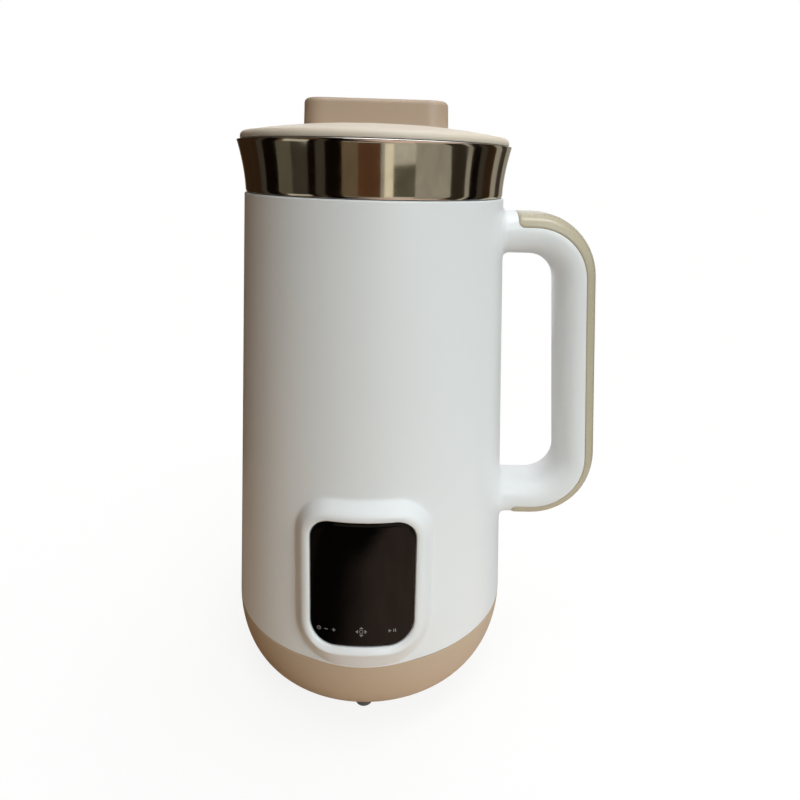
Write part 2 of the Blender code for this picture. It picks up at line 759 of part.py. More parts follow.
def window_size():
    """Half width, low and high edge of the opening behind the glass."""
    half = GLASS_WIDTH / 2 - CONTROL_BOARD_MARGIN - 2 * STANDOFF_INSET - WINDOW_MARGIN / 2
    return half, GLASS_BOTTOM + WINDOW_MARGIN, GLASS_TOP - WINDOW_MARGIN


def window_cutter():
    half, low, high = window_size()
    front = shell_radius(low) + HOUSING_RISE
    back = control_board_face() - OVERRUN
    return block((-half, -front, low), (half, -back, high))


def rail_places():
    """Distance of the power board's outer face from the axis, and the board's low and high edge."""
    low = SPLIT_HEIGHT + LAP_HEIGHT + POWER_BOARD_LIFT
    high = low + POWER_BOARD_HEIGHT
    reach = math.sqrt(inner_radius(high) ** 2 - (POWER_BOARD_WIDTH / 2) ** 2) - 2 * SEAT
    return reach, low, high


def board_rails():
    reach, low, high = rail_places()
    front = reach - POWER_BOARD_THICKNESS - SEAT
    shapes = []
    for side in (-1, 1):
        near = side * (POWER_BOARD_WIDTH / 2 - RAIL_GRIP)
        far = side * math.sqrt((inner_radius(low) + SEAT) ** 2 - front ** 2)
        ends = sorted((near, far))
        shapes.append(block((-front, ends[0], low), (RAIL_THICKNESS - front, ends[1], high)))
    return shapes


def inlet_face():
    """Distance from the axis to the flat that carries the power inlet's flange."""
    half = INLET_WIDTH / 2 + INLET_FLANGE + SEAT
    high = INLET_LEVEL + INLET_HEIGHT / 2 + INLET_FLANGE
    return math.sqrt(shell_radius(high) ** 2 - half ** 2) - INLET_FLANGE_THICKNESS


def inlet_pad():
    half_width = INLET_WIDTH / 2 + INLET_FLANGE + PAD_MARGIN
    half_height = INLET_HEIGHT / 2 + INLET_FLANGE + PAD_MARGIN
    face = inlet_face()
    low = (-half_width, face - PAD_DEPTH, INLET_LEVEL - half_height)
    high = (half_width, face + SEAT, INLET_LEVEL + half_height)
    return block(low, high)


def inlet_opening():
    """The flange's pocket and the hole for the inlet's body."""
    face = inlet_face()
    facing = Matrix.Translation((0, face, INLET_LEVEL)) @ Matrix.Rotation(-math.pi / 2, 4, "X")
    pocket = prism(inlet_outline(INLET_FLANGE + SEAT), 0, SHELL_TOP_RADIUS, facing)
    hole = prism(inlet_outline(SEAT), -PAD_DEPTH - OVERRUN, OVERRUN, facing)
    return pocket, hole


def handle_screw_levels():
    return {"handle_screw_upper": HANDLE_TOP_LEVEL, "handle_screw_lower": HANDLE_BOTTOM_LEVEL}


def handle_screw_holes():
    shapes = []
    for level in handle_screw_levels().values():
        place = placed(Vector((inner_radius(level) - OVERRUN, 0, level)), (1, 0, 0))
        shapes.append(rod(HANDLE_SHANK + SEAT, 0, SHELL_WALL + 2 * OVERRUN, SMALL_SIDES, place))
    return shapes


def make_outer_shell():
    """The wall with all that is moulded on it. Its many crossing facets need the MANIFOLD solver."""
    shell = add_object("outer_shell", turned(shell_profile(), WIDE_SIDES), WHITE_PLASTIC)
    added = [("housing_add", housing_shape()), ("inlet_pad_add", inlet_pad())]
    added += [("boss_add", shape) for shape in bracket_bosses()]
    added += [("standoff_add", shape) for shape in standoffs()]
    added += [("rail_add", shape) for shape in board_rails()]
    fuse(shell, *[add_object(name, shape) for name, shape in added], solver="MANIFOLD")
    pocket = bent_plate(SEAT, GLASS_BACK - SEAT, HOUSING_RISE + OVERRUN)
    removed = [("glass_pocket_cut", pocket), ("window_cut", window_cutter())]
    removed += [("inlet_cut", shape) for shape in inlet_opening()]
    removed += [("pilot_cut", merged(bracket_pilots())), ("handle_hole_cut", merged(handle_screw_holes()))]
    carve(shell, *[add_object(name, shape) for name, shape in removed], solver="MANIFOLD")
    return shell


# Base, bottom cover and feet

def base_profile():
    foot_radius = shell_radius(SHELL_BOTTOM)
    lap_outer = inner_radius(SHELL_BOTTOM + LAP_HEIGHT) - SEAT
    lap_inner = lap_outer - LAP_WALL
    centre = (BASE_FLAT_RADIUS, SPLIT_HEIGHT)
    outer = oval_arc(centre, foot_radius - BASE_FLAT_RADIUS, SPLIT_HEIGHT, BASE_STEPS)
    inner = oval_arc(centre, lap_inner - BASE_FLAT_RADIUS, SPLIT_HEIGHT - LEDGE_TOP, BASE_INNER_STEPS)[::-1]
    rim = [
        (COVER_SEAT_RADIUS, 0),
        (COVER_SEAT_RADIUS, LEDGE_BOTTOM),
        (COVER_SEAT_RADIUS - LEDGE_WIDTH, LEDGE_BOTTOM),
        (COVER_SEAT_RADIUS - LEDGE_WIDTH, LEDGE_TOP),
    ]
    lap = [
        (lap_inner, SPLIT_HEIGHT + LAP_HEIGHT),
        (lap_outer, SPLIT_HEIGHT + LAP_HEIGHT),
        (lap_outer, SPLIT_HEIGHT),
    ]
    return outer + rim + inner + lap


def cover_screw_angles():
    """The screws stand midway between the feet."""
    pitch = math.tau / COVER_SCREWS
    return [-math.pi / 2 + pitch / 2 + pitch * step for step in range(COVER_SCREWS)]


def foot_angles():
    return {
        "foot_front": -math.pi / 2,
        "foot_rear_right": math.pi / 6,
        "foot_rear_left": math.pi * 5 / 6,
    }


def foot_circle():
    return BASE_FLAT_RADIUS + FOOT_OUT


def make_base_shell():
    base = add_object("base_shell", turned(base_profile(), WIDE_SIDES), TAN_PLASTIC)
    bosses = []
    pilots = []
    for angle in cover_screw_angles():
        place = Matrix.Translation(polar(COVER_SCREW_CIRCLE, angle))
        root = (LEDGE_BOTTOM + LEDGE_TOP) / 2
        bosses.append(rod(COVER_BOSS_RADIUS, root, LEDGE_TOP + COVER_BOSS_HEIGHT, SMALL_SIDES, place))
        top = COVER_THICKNESS + TAPPING_LENGTH
        pilots.append(rod(TAPPING_SHANK + SEAT, -OVERRUN, top, SMALL_SIDES, place))
    fuse(base, *[add_object("cover_boss_add", shape) for shape in bosses])
    carve(base, add_object("cover_pilot_cut", merged(pilots)))
    pockets = []
    for angle in foot_angles().values():
        place = Matrix.Translation(polar(foot_circle(), angle))
        profile = [
            (0, -OVERRUN),
            (FOOT_RADIUS + SEAT, -OVERRUN),
            (FOOT_RADIUS + SEAT, FOOT_SINK + SEAT),
            (NIPPLE_RADIUS + SEAT, FOOT_SINK + SEAT),
            (NIPPLE_RADIUS + SEAT, LEDGE_TOP),
            (NIPPLE_HEAD + SEAT, LEDGE_TOP),
            (NIPPLE_HEAD + SEAT, LEDGE_TOP + NIPPLE_HEAD_HEIGHT + OVERRUN),
            (0, LEDGE_TOP + NIPPLE_HEAD_HEIGHT + OVERRUN),
        ]
        pockets.append(turned(profile, SMALL_SIDES, place))
    carve(base, add_object("foot_pocket_cut", merged(pockets)))
    return base


def make_bottom_cover():
    cover = add_object("bottom_cover", turned([
        (0, 0), (COVER_RADIUS, 0), (COVER_RADIUS, COVER_THICKNESS), (0, COVER_THICKNESS),
    ], WIDE_SIDES), TAN_PLASTIC)
    slots = []
    for step in range(VENT_COUNT):
        half = VENT_WIDTH / 2
        far = VENT_INNER_RADIUS + VENT_LENGTH
        outline = [(VENT_INNER_RADIUS, -half), (far, -half), (far, half), (VENT_INNER_RADIUS, half)]
        turn = Matrix.Rotation(math.tau * (step + 0.5) / VENT_COUNT, 4, "Z")
        slots.append(prism(outline, -OVERRUN, COVER_THICKNESS + OVERRUN, turn))
    carve(cover, add_object("vent_cut", merged(slots)))
    holes = []
    recess = TAPPING_HEAD_HEIGHT + SEAT
    for angle in cover_screw_angles():
        profile = [
            (0, -OVERRUN),
            (TAPPING_HEAD + SEAT, -OVERRUN),
            (TAPPING_HEAD + SEAT, recess),
            (TAPPING_SHANK + SEAT, recess),
            (TAPPING_SHANK + SEAT, COVER_THICKNESS + OVERRUN),
            (0, COVER_THICKNESS + OVERRUN),
        ]
        holes.append(turned(profile, SMALL_SIDES, Matrix.Translation(polar(COVER_SCREW_CIRCLE, angle))))
    carve(cover, add_object("cover_hole_cut", merged(holes)))
    return cover


def make_bottom_screws():
    for number, angle in enumerate(cover_screw_angles(), start=1):
        place = Matrix.Translation(polar(COVER_SCREW_CIRCLE, angle, TAPPING_HEAD_HEIGHT))
        shape = screw_shape(TAPPING_SHANK, TAPPING_HEAD, TAPPING_HEAD_HEIGHT, TAPPING_LENGTH, place)
        add_object(f"bottom_screw_{number}", shape, BRUSHED_STEEL)


def make_feet():
    profile = [
        (0, -FOOT_DROP),
        (FOOT_RADIUS - FOOT_CHAMFER, -FOOT_DROP),
        (FOOT_RADIUS, FOOT_CHAMFER - FOOT_DROP),
        (FOOT_RADIUS, FOOT_SINK),
        (NIPPLE_RADIUS, FOOT_SINK),
        (NIPPLE_RADIUS, LEDGE_TOP + SEAT),
        (NIPPLE_HEAD, LEDGE_TOP + SEAT),
        (NIPPLE_RADIUS, LEDGE_TOP + SEAT + NIPPLE_HEAD_HEIGHT),
        (0, LEDGE_TOP + SEAT + NIPPLE_HEAD_HEIGHT),
    ]
    for name, angle in foot_angles().items():
        place = Matrix.Translation(polar(foot_circle(), angle))
        add_object(name, turned(profile, SMALL_SIDES, place), GREY_RUBBER)


# Steel pot and what is fixed to it

def collar_points(offset):
    """The flared collar from its foot to the rim, moved inwards by an offset."""
    foot = POT_SHOULDER
    points = []
    for step in range(COLLAR_STEPS + 1):
        share = step / COLLAR_STEPS
        radius = COLLAR_RADIUS + COLLAR_FLARE * share ** COLLAR_CURVE_SHARE - offset
        points.append((radius, foot + (RIM_HEIGHT - foot) * share))
    return points


def pot_profile():
    outside = collar_points(0)
    inside = collar_points(POT_WALL)[::-1]
    inside[-1] = (COLLAR_RADIUS - POT_WALL, POT_SHOULDER + POT_WALL)
    quarter = math.pi / 2
    round_centre = (POT_RADIUS + SHOULDER_ROUND, POT_SHOULDER - SHOULDER_ROUND)
    inner_neck = arc_points(round_centre, SHOULDER_ROUND + POT_WALL, quarter, math.pi, NECK_STEPS)
    outer_neck = arc_points(round_centre, SHOULDER_ROUND, math.pi, quarter, NECK_STEPS)
    floor_centre = (POT_RADIUS - POT_CORNER, POT_BOTTOM + POT_CORNER)
    inner_corner = arc_points(floor_centre, POT_CORNER - POT_WALL, 0, -quarter, POT_CORNER_STEPS)
    outer_corner = arc_points(floor_centre, POT_CORNER, -quarter, 0, POT_CORNER_STEPS)
    hole = SEAT_NECK_RADIUS + SEAT
    return (
        outside
        + inside
        + inner_neck
        + inner_corner
        + [(hole, POT_FLOOR), (hole, POT_BOTTOM)]
        + outer_corner
        + outer_neck
    )


def probe_level():
    return POT_SHOULDER - PROBE_BELOW_SHOULDER


def make_steel_pot():
    pot = add_object("steel_pot", turned(pot_profile(), WIDE_SIDES), POLISHED_STEEL)
    start = Vector((-POT_RADIUS - OVERRUN, 0, probe_level()))
    hole = rod(BUSH_NECK + SEAT, 0, 3 * OVERRUN, SMALL_SIDES, placed(start, (1, 0, 0)))
    carve(pot, add_object("probe_hole_cut", hole))
    return pot


def make_pot_gasket():
    inner = FLANGE_INNER_RADIUS + GROOVE_LAND + SEAT
    outer = SHELL_TOP_RADIUS - SHELL_EDGE_ROUND - GROOVE_LAND - SEAT
    low = SHELL_TOP - GROOVE_DEPTH + SEAT
    high = POT_SHOULDER - SEAT
    add_object("pot_gasket", ring_band(inner, outer, low, high, WIDE_SIDES), CLEAR_SILICONE)


def make_heat_plate():
    inner = NUT_RADIUS + SEAT
    shape = ring_band(inner, HEAT_PLATE_RADIUS, HEAT_PLATE_BOTTOM, HEAT_PLATE_TOP, MIDDLE_SIDES)
    plate = add_object("heat_plate", shape, ALUMINIUM)
    hole = rod(SENSOR_RADIUS + SEAT, HEAT_PLATE_BOTTOM - OVERRUN, HEAT_PLATE_TOP + OVERRUN,
               SMALL_SIDES, sensor_place())
    carve(plate, add_object("sensor_hole_cut", hole))


def sensor_place():
    return Matrix.Translation((0, SENSOR_CIRCLE, 0))


def heater_path():
    """The open heating ring, with both ends bent down into tails."""
    start = math.pi / 2 + HEATER_GAP_ANGLE / 2
    sweep = math.tau - HEATER_GAP_ANGLE
    angles = [start + sweep * step / HEATER_STEPS for step in range(HEATER_STEPS + 1)]
    ring = [polar(HEATER_CIRCLE, angle, HEATER_LEVEL) for angle in angles]
    first = heater_tail(ring[0], ring[0] - ring[1])
    last = heater_tail(ring[-1], ring[-1] - ring[-2])
    return first[::-1] + ring + last


def heater_tail(end, direction):
    along = direction.normalized()
    points = []
    for step in range(1, HEATER_BEND_STEPS + 1):
        angle = math.pi / 2 * step / HEATER_BEND_STEPS
        ahead = along * HEATER_BEND * math.sin(angle)
        points.append(end + ahead - Vector((0, 0, HEATER_BEND * (1 - math.cos(angle)))))
    points.append(points[-1] - Vector((0, 0, HEATER_TAIL)))
    return points


def make_heating_ring():
    curve = bpy.data.curves.new("heating_ring", "CURVE")
    curve.dimensions = "3D"
    curve.bevel_depth = HEATER_TUBE_RADIUS
    curve.bevel_resolution = 1
    curve.use_fill_caps = True
    spline = curve.splines.new("POLY")
    path = heater_path()
    spline.points.add(len(path) - 1)
    for point, place in zip(spline.points, path):
        point.co = (*place, 1.0)
    ring = bpy.data.objects.new("heating_ring", curve)
    curve.materials.append(finish_material("heating_ring", ALUMINIUM))
    bpy.context.scene.collection.objects.link(ring)


def make_temperature_sensor():
    flange_top = HEAT_PLATE_BOTTOM - SEAT
    tip = POT_BOTTOM - SEAT
    profile = [
        (0, tip - SENSOR_LENGTH),
        (SENSOR_RADIUS, tip - SENSOR_LENGTH),
        (SENSOR_RADIUS, flange_top - SENSOR_FLANGE_THICKNESS),
        (SENSOR_FLANGE, flange_top - SENSOR_FLANGE_THICKNESS),
        (SENSOR_FLANGE, flange_top),
        (SENSOR_RADIUS, flange_top),
        (SENSOR_RADIUS, tip),
        (0, tip),
    ]
    add_object("temperature_sensor", turned(profile, SMALL_SIDES, sensor_place()), BRUSHED_STEEL)


def make_overflow_probe():
    """A steel pin through the pot's wall, held by a bush that grips the wall from both sides."""
    outside = POT_RADIUS + SEAT + BUSH_FLANGE_THICKNESS
    inside = POT_INNER_RADIUS - 2 * SEAT - BUSH_FLANGE_THICKNESS
    place = placed((-outside, 0, probe_level()), (1, 0, 0))
    wall_outer = outside - POT_RADIUS - SEAT
    wall_inner = outside - POT_INNER_RADIUS + 2 * SEAT
    bore = PROBE_RADIUS + SEAT
    end = outside - inside
    bush = [
        (bore, 0),
        (BUSH_FLANGE, 0),
        (BUSH_FLANGE, wall_outer),
        (BUSH_NECK, wall_outer),
        (BUSH_NECK, wall_inner),
        (BUSH_FLANGE, wall_inner),
        (BUSH_FLANGE, end),
        (bore, end),
    ]
    add_object("probe_bush", turned(bush, SMALL_SIDES, place), CLEAR_SILICONE)
    pin = rod(PROBE_RADIUS, -PROBE_TAIL, end + PROBE_REACH, SMALL_SIDES, place)
    add_object("overflow_probe", pin, BRUSHED_STEEL)


def seat_bore_radius():
    return BORE_RADIUS + BUSH_WALL + SEAT


def make_shaft_seat():
    bottom = POT_BOTTOM - SEAT_NECK_LENGTH
    bore = seat_bore_radius()
    seal_floor = SEAT_TOP - SEAL_THICKNESS
    profile = [
        (bore, bottom),
        (SEAT_NECK_RADIUS, bottom),
        (SEAT_NECK_RADIUS, POT_FLOOR + SEAT),
        (SEAT_FLANGE_RADIUS, POT_FLOOR + SEAT),
        (SEAT_FLANGE_RADIUS, POT_FLOOR + SEAT + SEAT_FLANGE_HEIGHT / 3),
        (SEAL_RADIUS + SEAL_THICKNESS, SEAT_TOP),
        (SEAL_RADIUS + SEAT, SEAT_TOP),
        (SEAL_RADIUS + SEAT, seal_floor),
        (bore, seal_floor),
    ]
    add_object("shaft_seat", turned(profile, MIDDLE_SIDES), BRUSHED_STEEL)
    bush = ring_band(BORE_RADIUS, bore - SEAT, bottom, seal_floor, MIDDLE_SIDES)
    add_object("shaft_bush", bush, BRONZE)
    seal = ring_band(BORE_RADIUS, SEAL_RADIUS, seal_floor + SEAT, SEAT_TOP - SEAT, MIDDLE_SIDES)
    add_object("shaft_seal", seal, GREY_RUBBER)


def make_seat_nut():
    top = POT_BOTTOM - SEAT
    hexagon = [tuple(polar(NUT_RADIUS, math.tau * step / 6)[:2]) for step in range(6)]
    nut = add_object("seat_nut", prism(hexagon, top - NUT_THICKNESS, top), BRUSHED_STEEL)
    bore = rod(SEAT_NECK_RADIUS + SEAT, top - NUT_THICKNESS - OVERRUN, top + OVERRUN, MIDDLE_SIDES)
    carve(nut, add_object("nut_bore_cut", bore))


# Blades, shafts and coupling

def blade_shape(level, angle, turn):
    """A four-winged blade stamped from sheet, its wings bent at the hub and ground on one edge."""
    shape = bmesh.new()
    bore = BLADE_STUB_RADIUS + SEAT
    half = math.sqrt(BLADE_HUB_RADIUS ** 2 - (BLADE_WIDTH / 2) ** 2)
    tip_half = BLADE_WIDTH / 2 * BLADE_TIP_SHARE
    rise = math.tan(angle) * (BLADE_SPAN - half)
    sheets = []
    for side in (0, 1):
        lift = level + side * BLADE_THICKNESS
        hole = []
        hub = []
        wings = []
        for wing in range(BLADE_COUNT):
            along = polar(1, turn + math.tau * wing / BLADE_COUNT)
            across = Vector((-along.y, along.x, 0))
            root = [along * half + across * offset for offset in (-BLADE_WIDTH / 2, BLADE_WIDTH / 2)]
            edge = lift if side else level + BLADE_THICKNESS - BLADE_EDGE
            tips = [
                along * BLADE_SPAN + across * (tip_half - BLADE_WIDTH / 2) + Vector((0, 0, edge + rise)),
                along * BLADE_SPAN + across * tip_half + Vector((0, 0, lift + rise)),
            ]
            hub.append([shape.verts.new(point + Vector((0, 0, lift))) for point in root])
            wings.append([shape.verts.new(point) for point in tips])
            for step in (-1, 0):
                place = turn + math.tau * (wing + 0.5 * step) / BLADE_COUNT
                hole.append(shape.verts.new(polar(bore, place, lift)))
        sheets.append((hole, hub, wings))
    for index in range(BLADE_COUNT):
        after = (index + 1) % BLADE_COUNT
        for hole, hub, wings in sheets:
            near, here, far = (hole[(2 * index + step) % (2 * BLADE_COUNT)] for step in (0, 1, 2))
            shape.faces.new((near, here, hub[index][0]))
            shape.faces.new((here, hub[index][1], hub[index][0]))
            shape.faces.new((here, far, hub[index][1]))
            shape.faces.new((far, hub[after][0], hub[index][1]))
            shape.faces.new((hub[index][0], hub[index][1], wings[index][1], wings[index][0]))
        low, high = sheets
        shape.faces.new((low[1][index][0], high[1][index][0], high[2][index][0], low[2][index][0]))
        shape.faces.new((low[2][index][0], high[2][index][0], high[2][index][1], low[2][index][1]))
        shape.faces.new((low[2][index][1], high[2][index][1], high[1][index][1], low[1][index][1]))
        shape.faces.new((low[1][index][1], high[1][index][1], high[1][after][0], low[1][after][0]))
    bridge(shape, sheets[0][0], sheets[1][0])
    return shape


def make_blades():
    lower = add_object("blade_lower", blade_shape(LOWER_BLADE, -BLADE_DOWN_ANGLE, math.pi / 4), BRUSHED_STEEL)
    upper = add_object("blade_upper", blade_shape(UPPER_BLADE, BLADE_UP_ANGLE, 0), BRUSHED_STEEL)
    return [lower, upper]


def make_blade_nut():
    low = BLADE_STACK_TOP + SEAT
    high = low + BLADE_NUT_HEIGHT
    bore = BLADE_STUB_RADIUS + SEAT
    dome = BLADE_NUT_RADIUS / 2
    profile = [
        (bore, low),
        (BLADE_NUT_RADIUS, low),
        (BLADE_NUT_RADIUS, high - dome),
        (dome, high),
        (0, high),
        (0, high - dome),
        (bore, high - dome),
    ]
    return add_object("blade_nut", turned(profile, MIDDLE_SIDES), BRUSHED_STEEL)


def make_blade_shaft():
    stub_top = BLADE_STACK_TOP + SEAT + BLADE_NUT_HEIGHT - BLADE_NUT_RADIUS / 2 - SEAT
    profile = [
        (0, SHAFT_JOIN + SEAT),
        (SHAFT_RADIUS, SHAFT_JOIN + SEAT),
        (SHAFT_RADIUS, SEAT_TOP + RUN),
        (SHAFT_SHOULDER_RADIUS, SEAT_TOP + RUN),
        (SHAFT_SHOULDER_RADIUS, BLADE_SEAT),
        (BLADE_STUB_RADIUS, BLADE_SEAT),
        (BLADE_STUB_RADIUS, stub_top),
        (0, stub_top),
    ]
    return add_object("blade_shaft", turned(profile, MIDDLE_SIDES), BRUSHED_STEEL)


def make_shaft_coupling():
    shape = ring_band(SHAFT_RADIUS + SEAT, COUPLING_RADIUS, COUPLING_BOTTOM, COUPLING_TOP, MIDDLE_SIDES)
    return add_object("shaft_coupling", shape, GREY_RUBBER)


# Motor

def make_motor_can():
    cup_inner = BEARING_RADIUS + SEAT
    profile = [
        (MOTOR_RADIUS, MOTOR_BOTTOM),
        (MOTOR_RADIUS, MOTOR_TOP),
        (BEARING_CUP_RADIUS, MOTOR_TOP),
        (BEARING_CUP_RADIUS, MOTOR_CUP_TOP),
        (BORE_RADIUS + MOTOR_WALL, MOTOR_CUP_TOP),
        (BORE_RADIUS + MOTOR_WALL, MOTOR_CUP_TOP - MOTOR_WALL),
        (cup_inner, MOTOR_CUP_TOP - MOTOR_WALL),
        (cup_inner, MOTOR_TOP - MOTOR_WALL),
        (MOTOR_INNER_RADIUS, MOTOR_TOP - MOTOR_WALL),
        (MOTOR_INNER_RADIUS, MOTOR_BOTTOM),
    ]
    can = add_object("motor_can", turned(profile, MIDDLE_SIDES), BRUSHED_STEEL)
    half = MOTOR_WINDOW_WIDTH / 2
    high = MOTOR_TOP - MOTOR_WALL - ROTOR_SPACE
    low = high - MOTOR_WINDOW_HEIGHT
    reach = MOTOR_RADIUS + OVERRUN
    windows = [
        block((-half, -reach, low), (half, reach, high)),
        block((-reach, -half, low), (reach, half, high)),
    ]
    for window in windows:
        carve(can, add_object("motor_window_cut", window))


def make_motor_end_cap():
    top = MOTOR_BOTTOM - SEAT
    bottom = top - END_CAP_THICKNESS
    boss_bottom = bottom - BEARING_WIDTH + MOTOR_WALL
    cup_inner = BEARING_RADIUS + SEAT
    profile = [
        (MOTOR_RADIUS, top),
        (cup_inner, top),
        (cup_inner, boss_bottom + MOTOR_WALL),
        (BORE_RADIUS + MOTOR_WALL, boss_bottom + MOTOR_WALL),
        (BORE_RADIUS + MOTOR_WALL, boss_bottom),
        (BEARING_CUP_RADIUS, boss_bottom),
        (BEARING_CUP_RADIUS, bottom),
        (MOTOR_RADIUS, bottom),
    ]
    add_object("motor_end_cap", turned(profile, MIDDLE_SIDES), DARK_PLASTIC)
    low = boss_bottom + MOTOR_WALL + SEAT
    shape = ring_band(BORE_RADIUS, BEARING_RADIUS, low, low + BEARING_WIDTH, MIDDLE_SIDES)
    add_object("bearing_lower", shape, BRUSHED_STEEL)
    return low


def make_bearing_upper():
    high = MOTOR_CUP_TOP - MOTOR_WALL - SEAT
    shape = ring_band(BORE_RADIUS, BEARING_RADIUS, high - BEARING_WIDTH, high, MIDDLE_SIDES)
    add_object("bearing_upper", shape, BRUSHED_STEEL)


def make_magnets():
    for name, middle in (("magnet_left", math.pi), ("magnet_right", 0.0)):
        start = middle - MAGNET_ANGLE / 2
        end = middle + MAGNET_ANGLE / 2
        outer = arc_points((0, 0), MAGNET_OUTER_RADIUS, start, end, MAGNET_STEPS)
        inner = arc_points((0, 0), MAGNET_INNER_RADIUS, end, start, MAGNET_STEPS)
        add_object(name, prism(outer + inner, ARMATURE_LOW, ARMATURE_HIGH), FERRITE)


def armature_outline():
    """A core with open slots between its teeth."""
    outline = []
    slot = ARMATURE_SLOT_WIDTH / 2
    slot_angle = math.asin(slot / ARMATURE_RADIUS)
    root = ARMATURE_RADIUS - ARMATURE_SLOT_DEPTH
    for tooth in range(ARMATURE_TEETH):
        pitch = math.tau / ARMATURE_TEETH
        start = pitch * tooth + slot_angle
        end = pitch * (tooth + 1) - slot_angle
        outline.extend(arc_points((0, 0), ARMATURE_RADIUS, start, end, TOOTH_STEPS))
        along = polar(1, pitch * (tooth + 1))
        across = Vector((-along.y, along.x, 0))
        for side in (-slot, slot):
            point = along * root + across * side
            outline.append((point.x, point.y))
    return outline


def make_rotor(shaft_bottom):
    armature = add_object("armature", prism(armature_outline(), ARMATURE_LOW, ARMATURE_HIGH), FERRITE)
    bore = rod(SHAFT_RADIUS + SEAT, ARMATURE_LOW - OVERRUN, ARMATURE_HIGH + OVERRUN, MIDDLE_SIDES)
    carve(armature, add_object("armature_bore_cut", bore))
    top = ROTOR_LOW + COMMUTATOR_LENGTH
    shape = ring_band(SHAFT_RADIUS + SEAT, COMMUTATOR_RADIUS, ROTOR_LOW, top, MIDDLE_SIDES)
    commutator = add_object("commutator", shape, COPPER)
    spindle = rod(SHAFT_RADIUS, shaft_bottom, SHAFT_JOIN, MIDDLE_SIDES)
    shaft = add_object("motor_shaft", spindle, BRUSHED_STEEL)
    return [armature, commutator, shaft, make_cooling_fan()]


def make_cooling_fan():
    disc = ring_band(SHAFT_RADIUS + SEAT, ARMATURE_RADIUS, FAN_LOW, FAN_LOW + FAN_THICKNESS, MIDDLE_SIDES)
    fan = add_object("cooling_fan", disc, DARK_PLASTIC)
    outline = spoke_outline(FAN_VANES, FAN_HUB_RADIUS, ARMATURE_RADIUS - FAN_THICKNESS, FAN_VANE_WIDTH, 0)
    vanes = add_object("vane_add", prism(outline, FAN_LOW + FAN_THICKNESS / 2, FAN_LOW + FAN_HEIGHT))
    fuse(fan, vanes)
    bore = rod(SHAFT_RADIUS + SEAT, FAN_LOW - OVERRUN, FAN_LOW + FAN_HEIGHT + OVERRUN, MIDDLE_SIDES)
    carve(fan, add_object("fan_bore_cut", bore))
    return fan


def make_motor_bracket():
    hub = BRACKET_HUB_RADIUS
    outline = spoke_outline(BRACKET_ARMS, hub, bracket_reach(), BRACKET_ARM_WIDTH, math.pi / 2)
    arms = prism(outline, BRACKET_BOTTOM, BRACKET_TOP)
    bracket = add_object("motor_bracket", arms, ALUMINIUM)
    low = BRACKET_BOTTOM - OVERRUN
    high = BRACKET_TOP + OVERRUN
    carve(bracket, add_object("bracket_bore_cut", rod(BEARING_CUP_RADIUS + SEAT, low, high, MIDDLE_SIDES)))
    holes = [
        rod(TAPPING_SHANK + SEAT, low, high, SMALL_SIDES,
            Matrix.Translation(polar(bracket_screw_circle(), angle)))
        for angle in bracket_angles()
    ]
    carve(bracket, add_object("bracket_hole_cut", merged(holes)))


def make_bracket_screws():
    for number, angle in enumerate(bracket_angles(), start=1):
        place = Matrix.Translation(polar(bracket_screw_circle(), angle, BRACKET_BOTTOM - SEAT))
        shape = screw_shape(TAPPING_SHANK, TAPPING_HEAD, TAPPING_HEAD_HEIGHT, TAPPING_LENGTH, place)
        add_object(f"bracket_screw_{number}", shape, BRUSHED_STEEL)


# Boards, panel and inlet

def make_touch_glass():
    add_object("touch_glass", bent_plate(0, GLASS_BACK, GLASS_FACE), BLACK_GLASS)


def make_control_board():
    half = GLASS_WIDTH / 2 - CONTROL_BOARD_MARGIN
    front = control_board_face()
    back = front - CONTROL_BOARD_THICKNESS
    low = GLASS_BOTTOM + CONTROL_BOARD_MARGIN
    high = GLASS_TOP - CONTROL_BOARD_MARGIN
    add_object("control_board", block((-half, -front, low), (half, -back, high)), BOARD_GREEN)


def make_display_module():
    window_half, low, high = window_size()
    half = window_half - DISPLAY_MARGIN
    back = control_board_face() + SEAT
    front = math.sqrt((shell_radius(high) + GLASS_BACK) ** 2 - half ** 2) - 2 * SEAT
    shape = block((-half, -front, low + DISPLAY_MARGIN), (half, -back, high - DISPLAY_MARGIN))
    add_object("display_module", shape, DARK_PLASTIC)


def make_power_board():
    reach, low, high = rail_places()
    half = POWER_BOARD_WIDTH / 2
    inner = reach - POWER_BOARD_THICKNESS
    add_object("power_board", block((-reach, -half, low + SEAT), (-inner, half, high - SEAT)), BOARD_GREEN)
    depth, width, height = TRANSFORMER_SIZE
    face = inner - SEAT
    middle = (low + high) / 2
    shape = block((-face, -width / 2, middle - height / 2), (depth - face, width / 2, middle + height / 2))
    add_object("power_transformer", shape, FERRITE)


def inlet_outline(margin):
    """The inlet's body seen from outside: two upper corners are cut off."""
    half = INLET_WIDTH / 2 + margin
    height = INLET_HEIGHT / 2 + margin
    cut = INLET_CHAMFER + margin / 2
    return [
        (-half, height),
        (-half, cut - height),
        (cut - half, -height),
        (half - cut, -height),
        (half, cut - height),
        (half, height),
    ]


def pin_places():
    return {
        "inlet_pin_line": (-PIN_PITCH, -PIN_STAGGER),
        "inlet_pin_neutral": (PIN_PITCH, -PIN_STAGGER),
        "inlet_pin_earth": (0, PIN_STAGGER),
    }


def pin_block(place, margin, deep, shallow):
    """A pin lies along Y: it runs from a depth behind the inlet's mouth to a shallower one."""
    mouth = inlet_face() + INLET_FLANGE_THICKNESS
    across, up = place
    half = PIN_WIDTH / 2 + margin
    half_height = PIN_HEIGHT / 2 + margin
    level = INLET_LEVEL + up
    return block((across - half, mouth - deep, level - half_height),
                 (across + half, mouth - shallow, level + half_height))


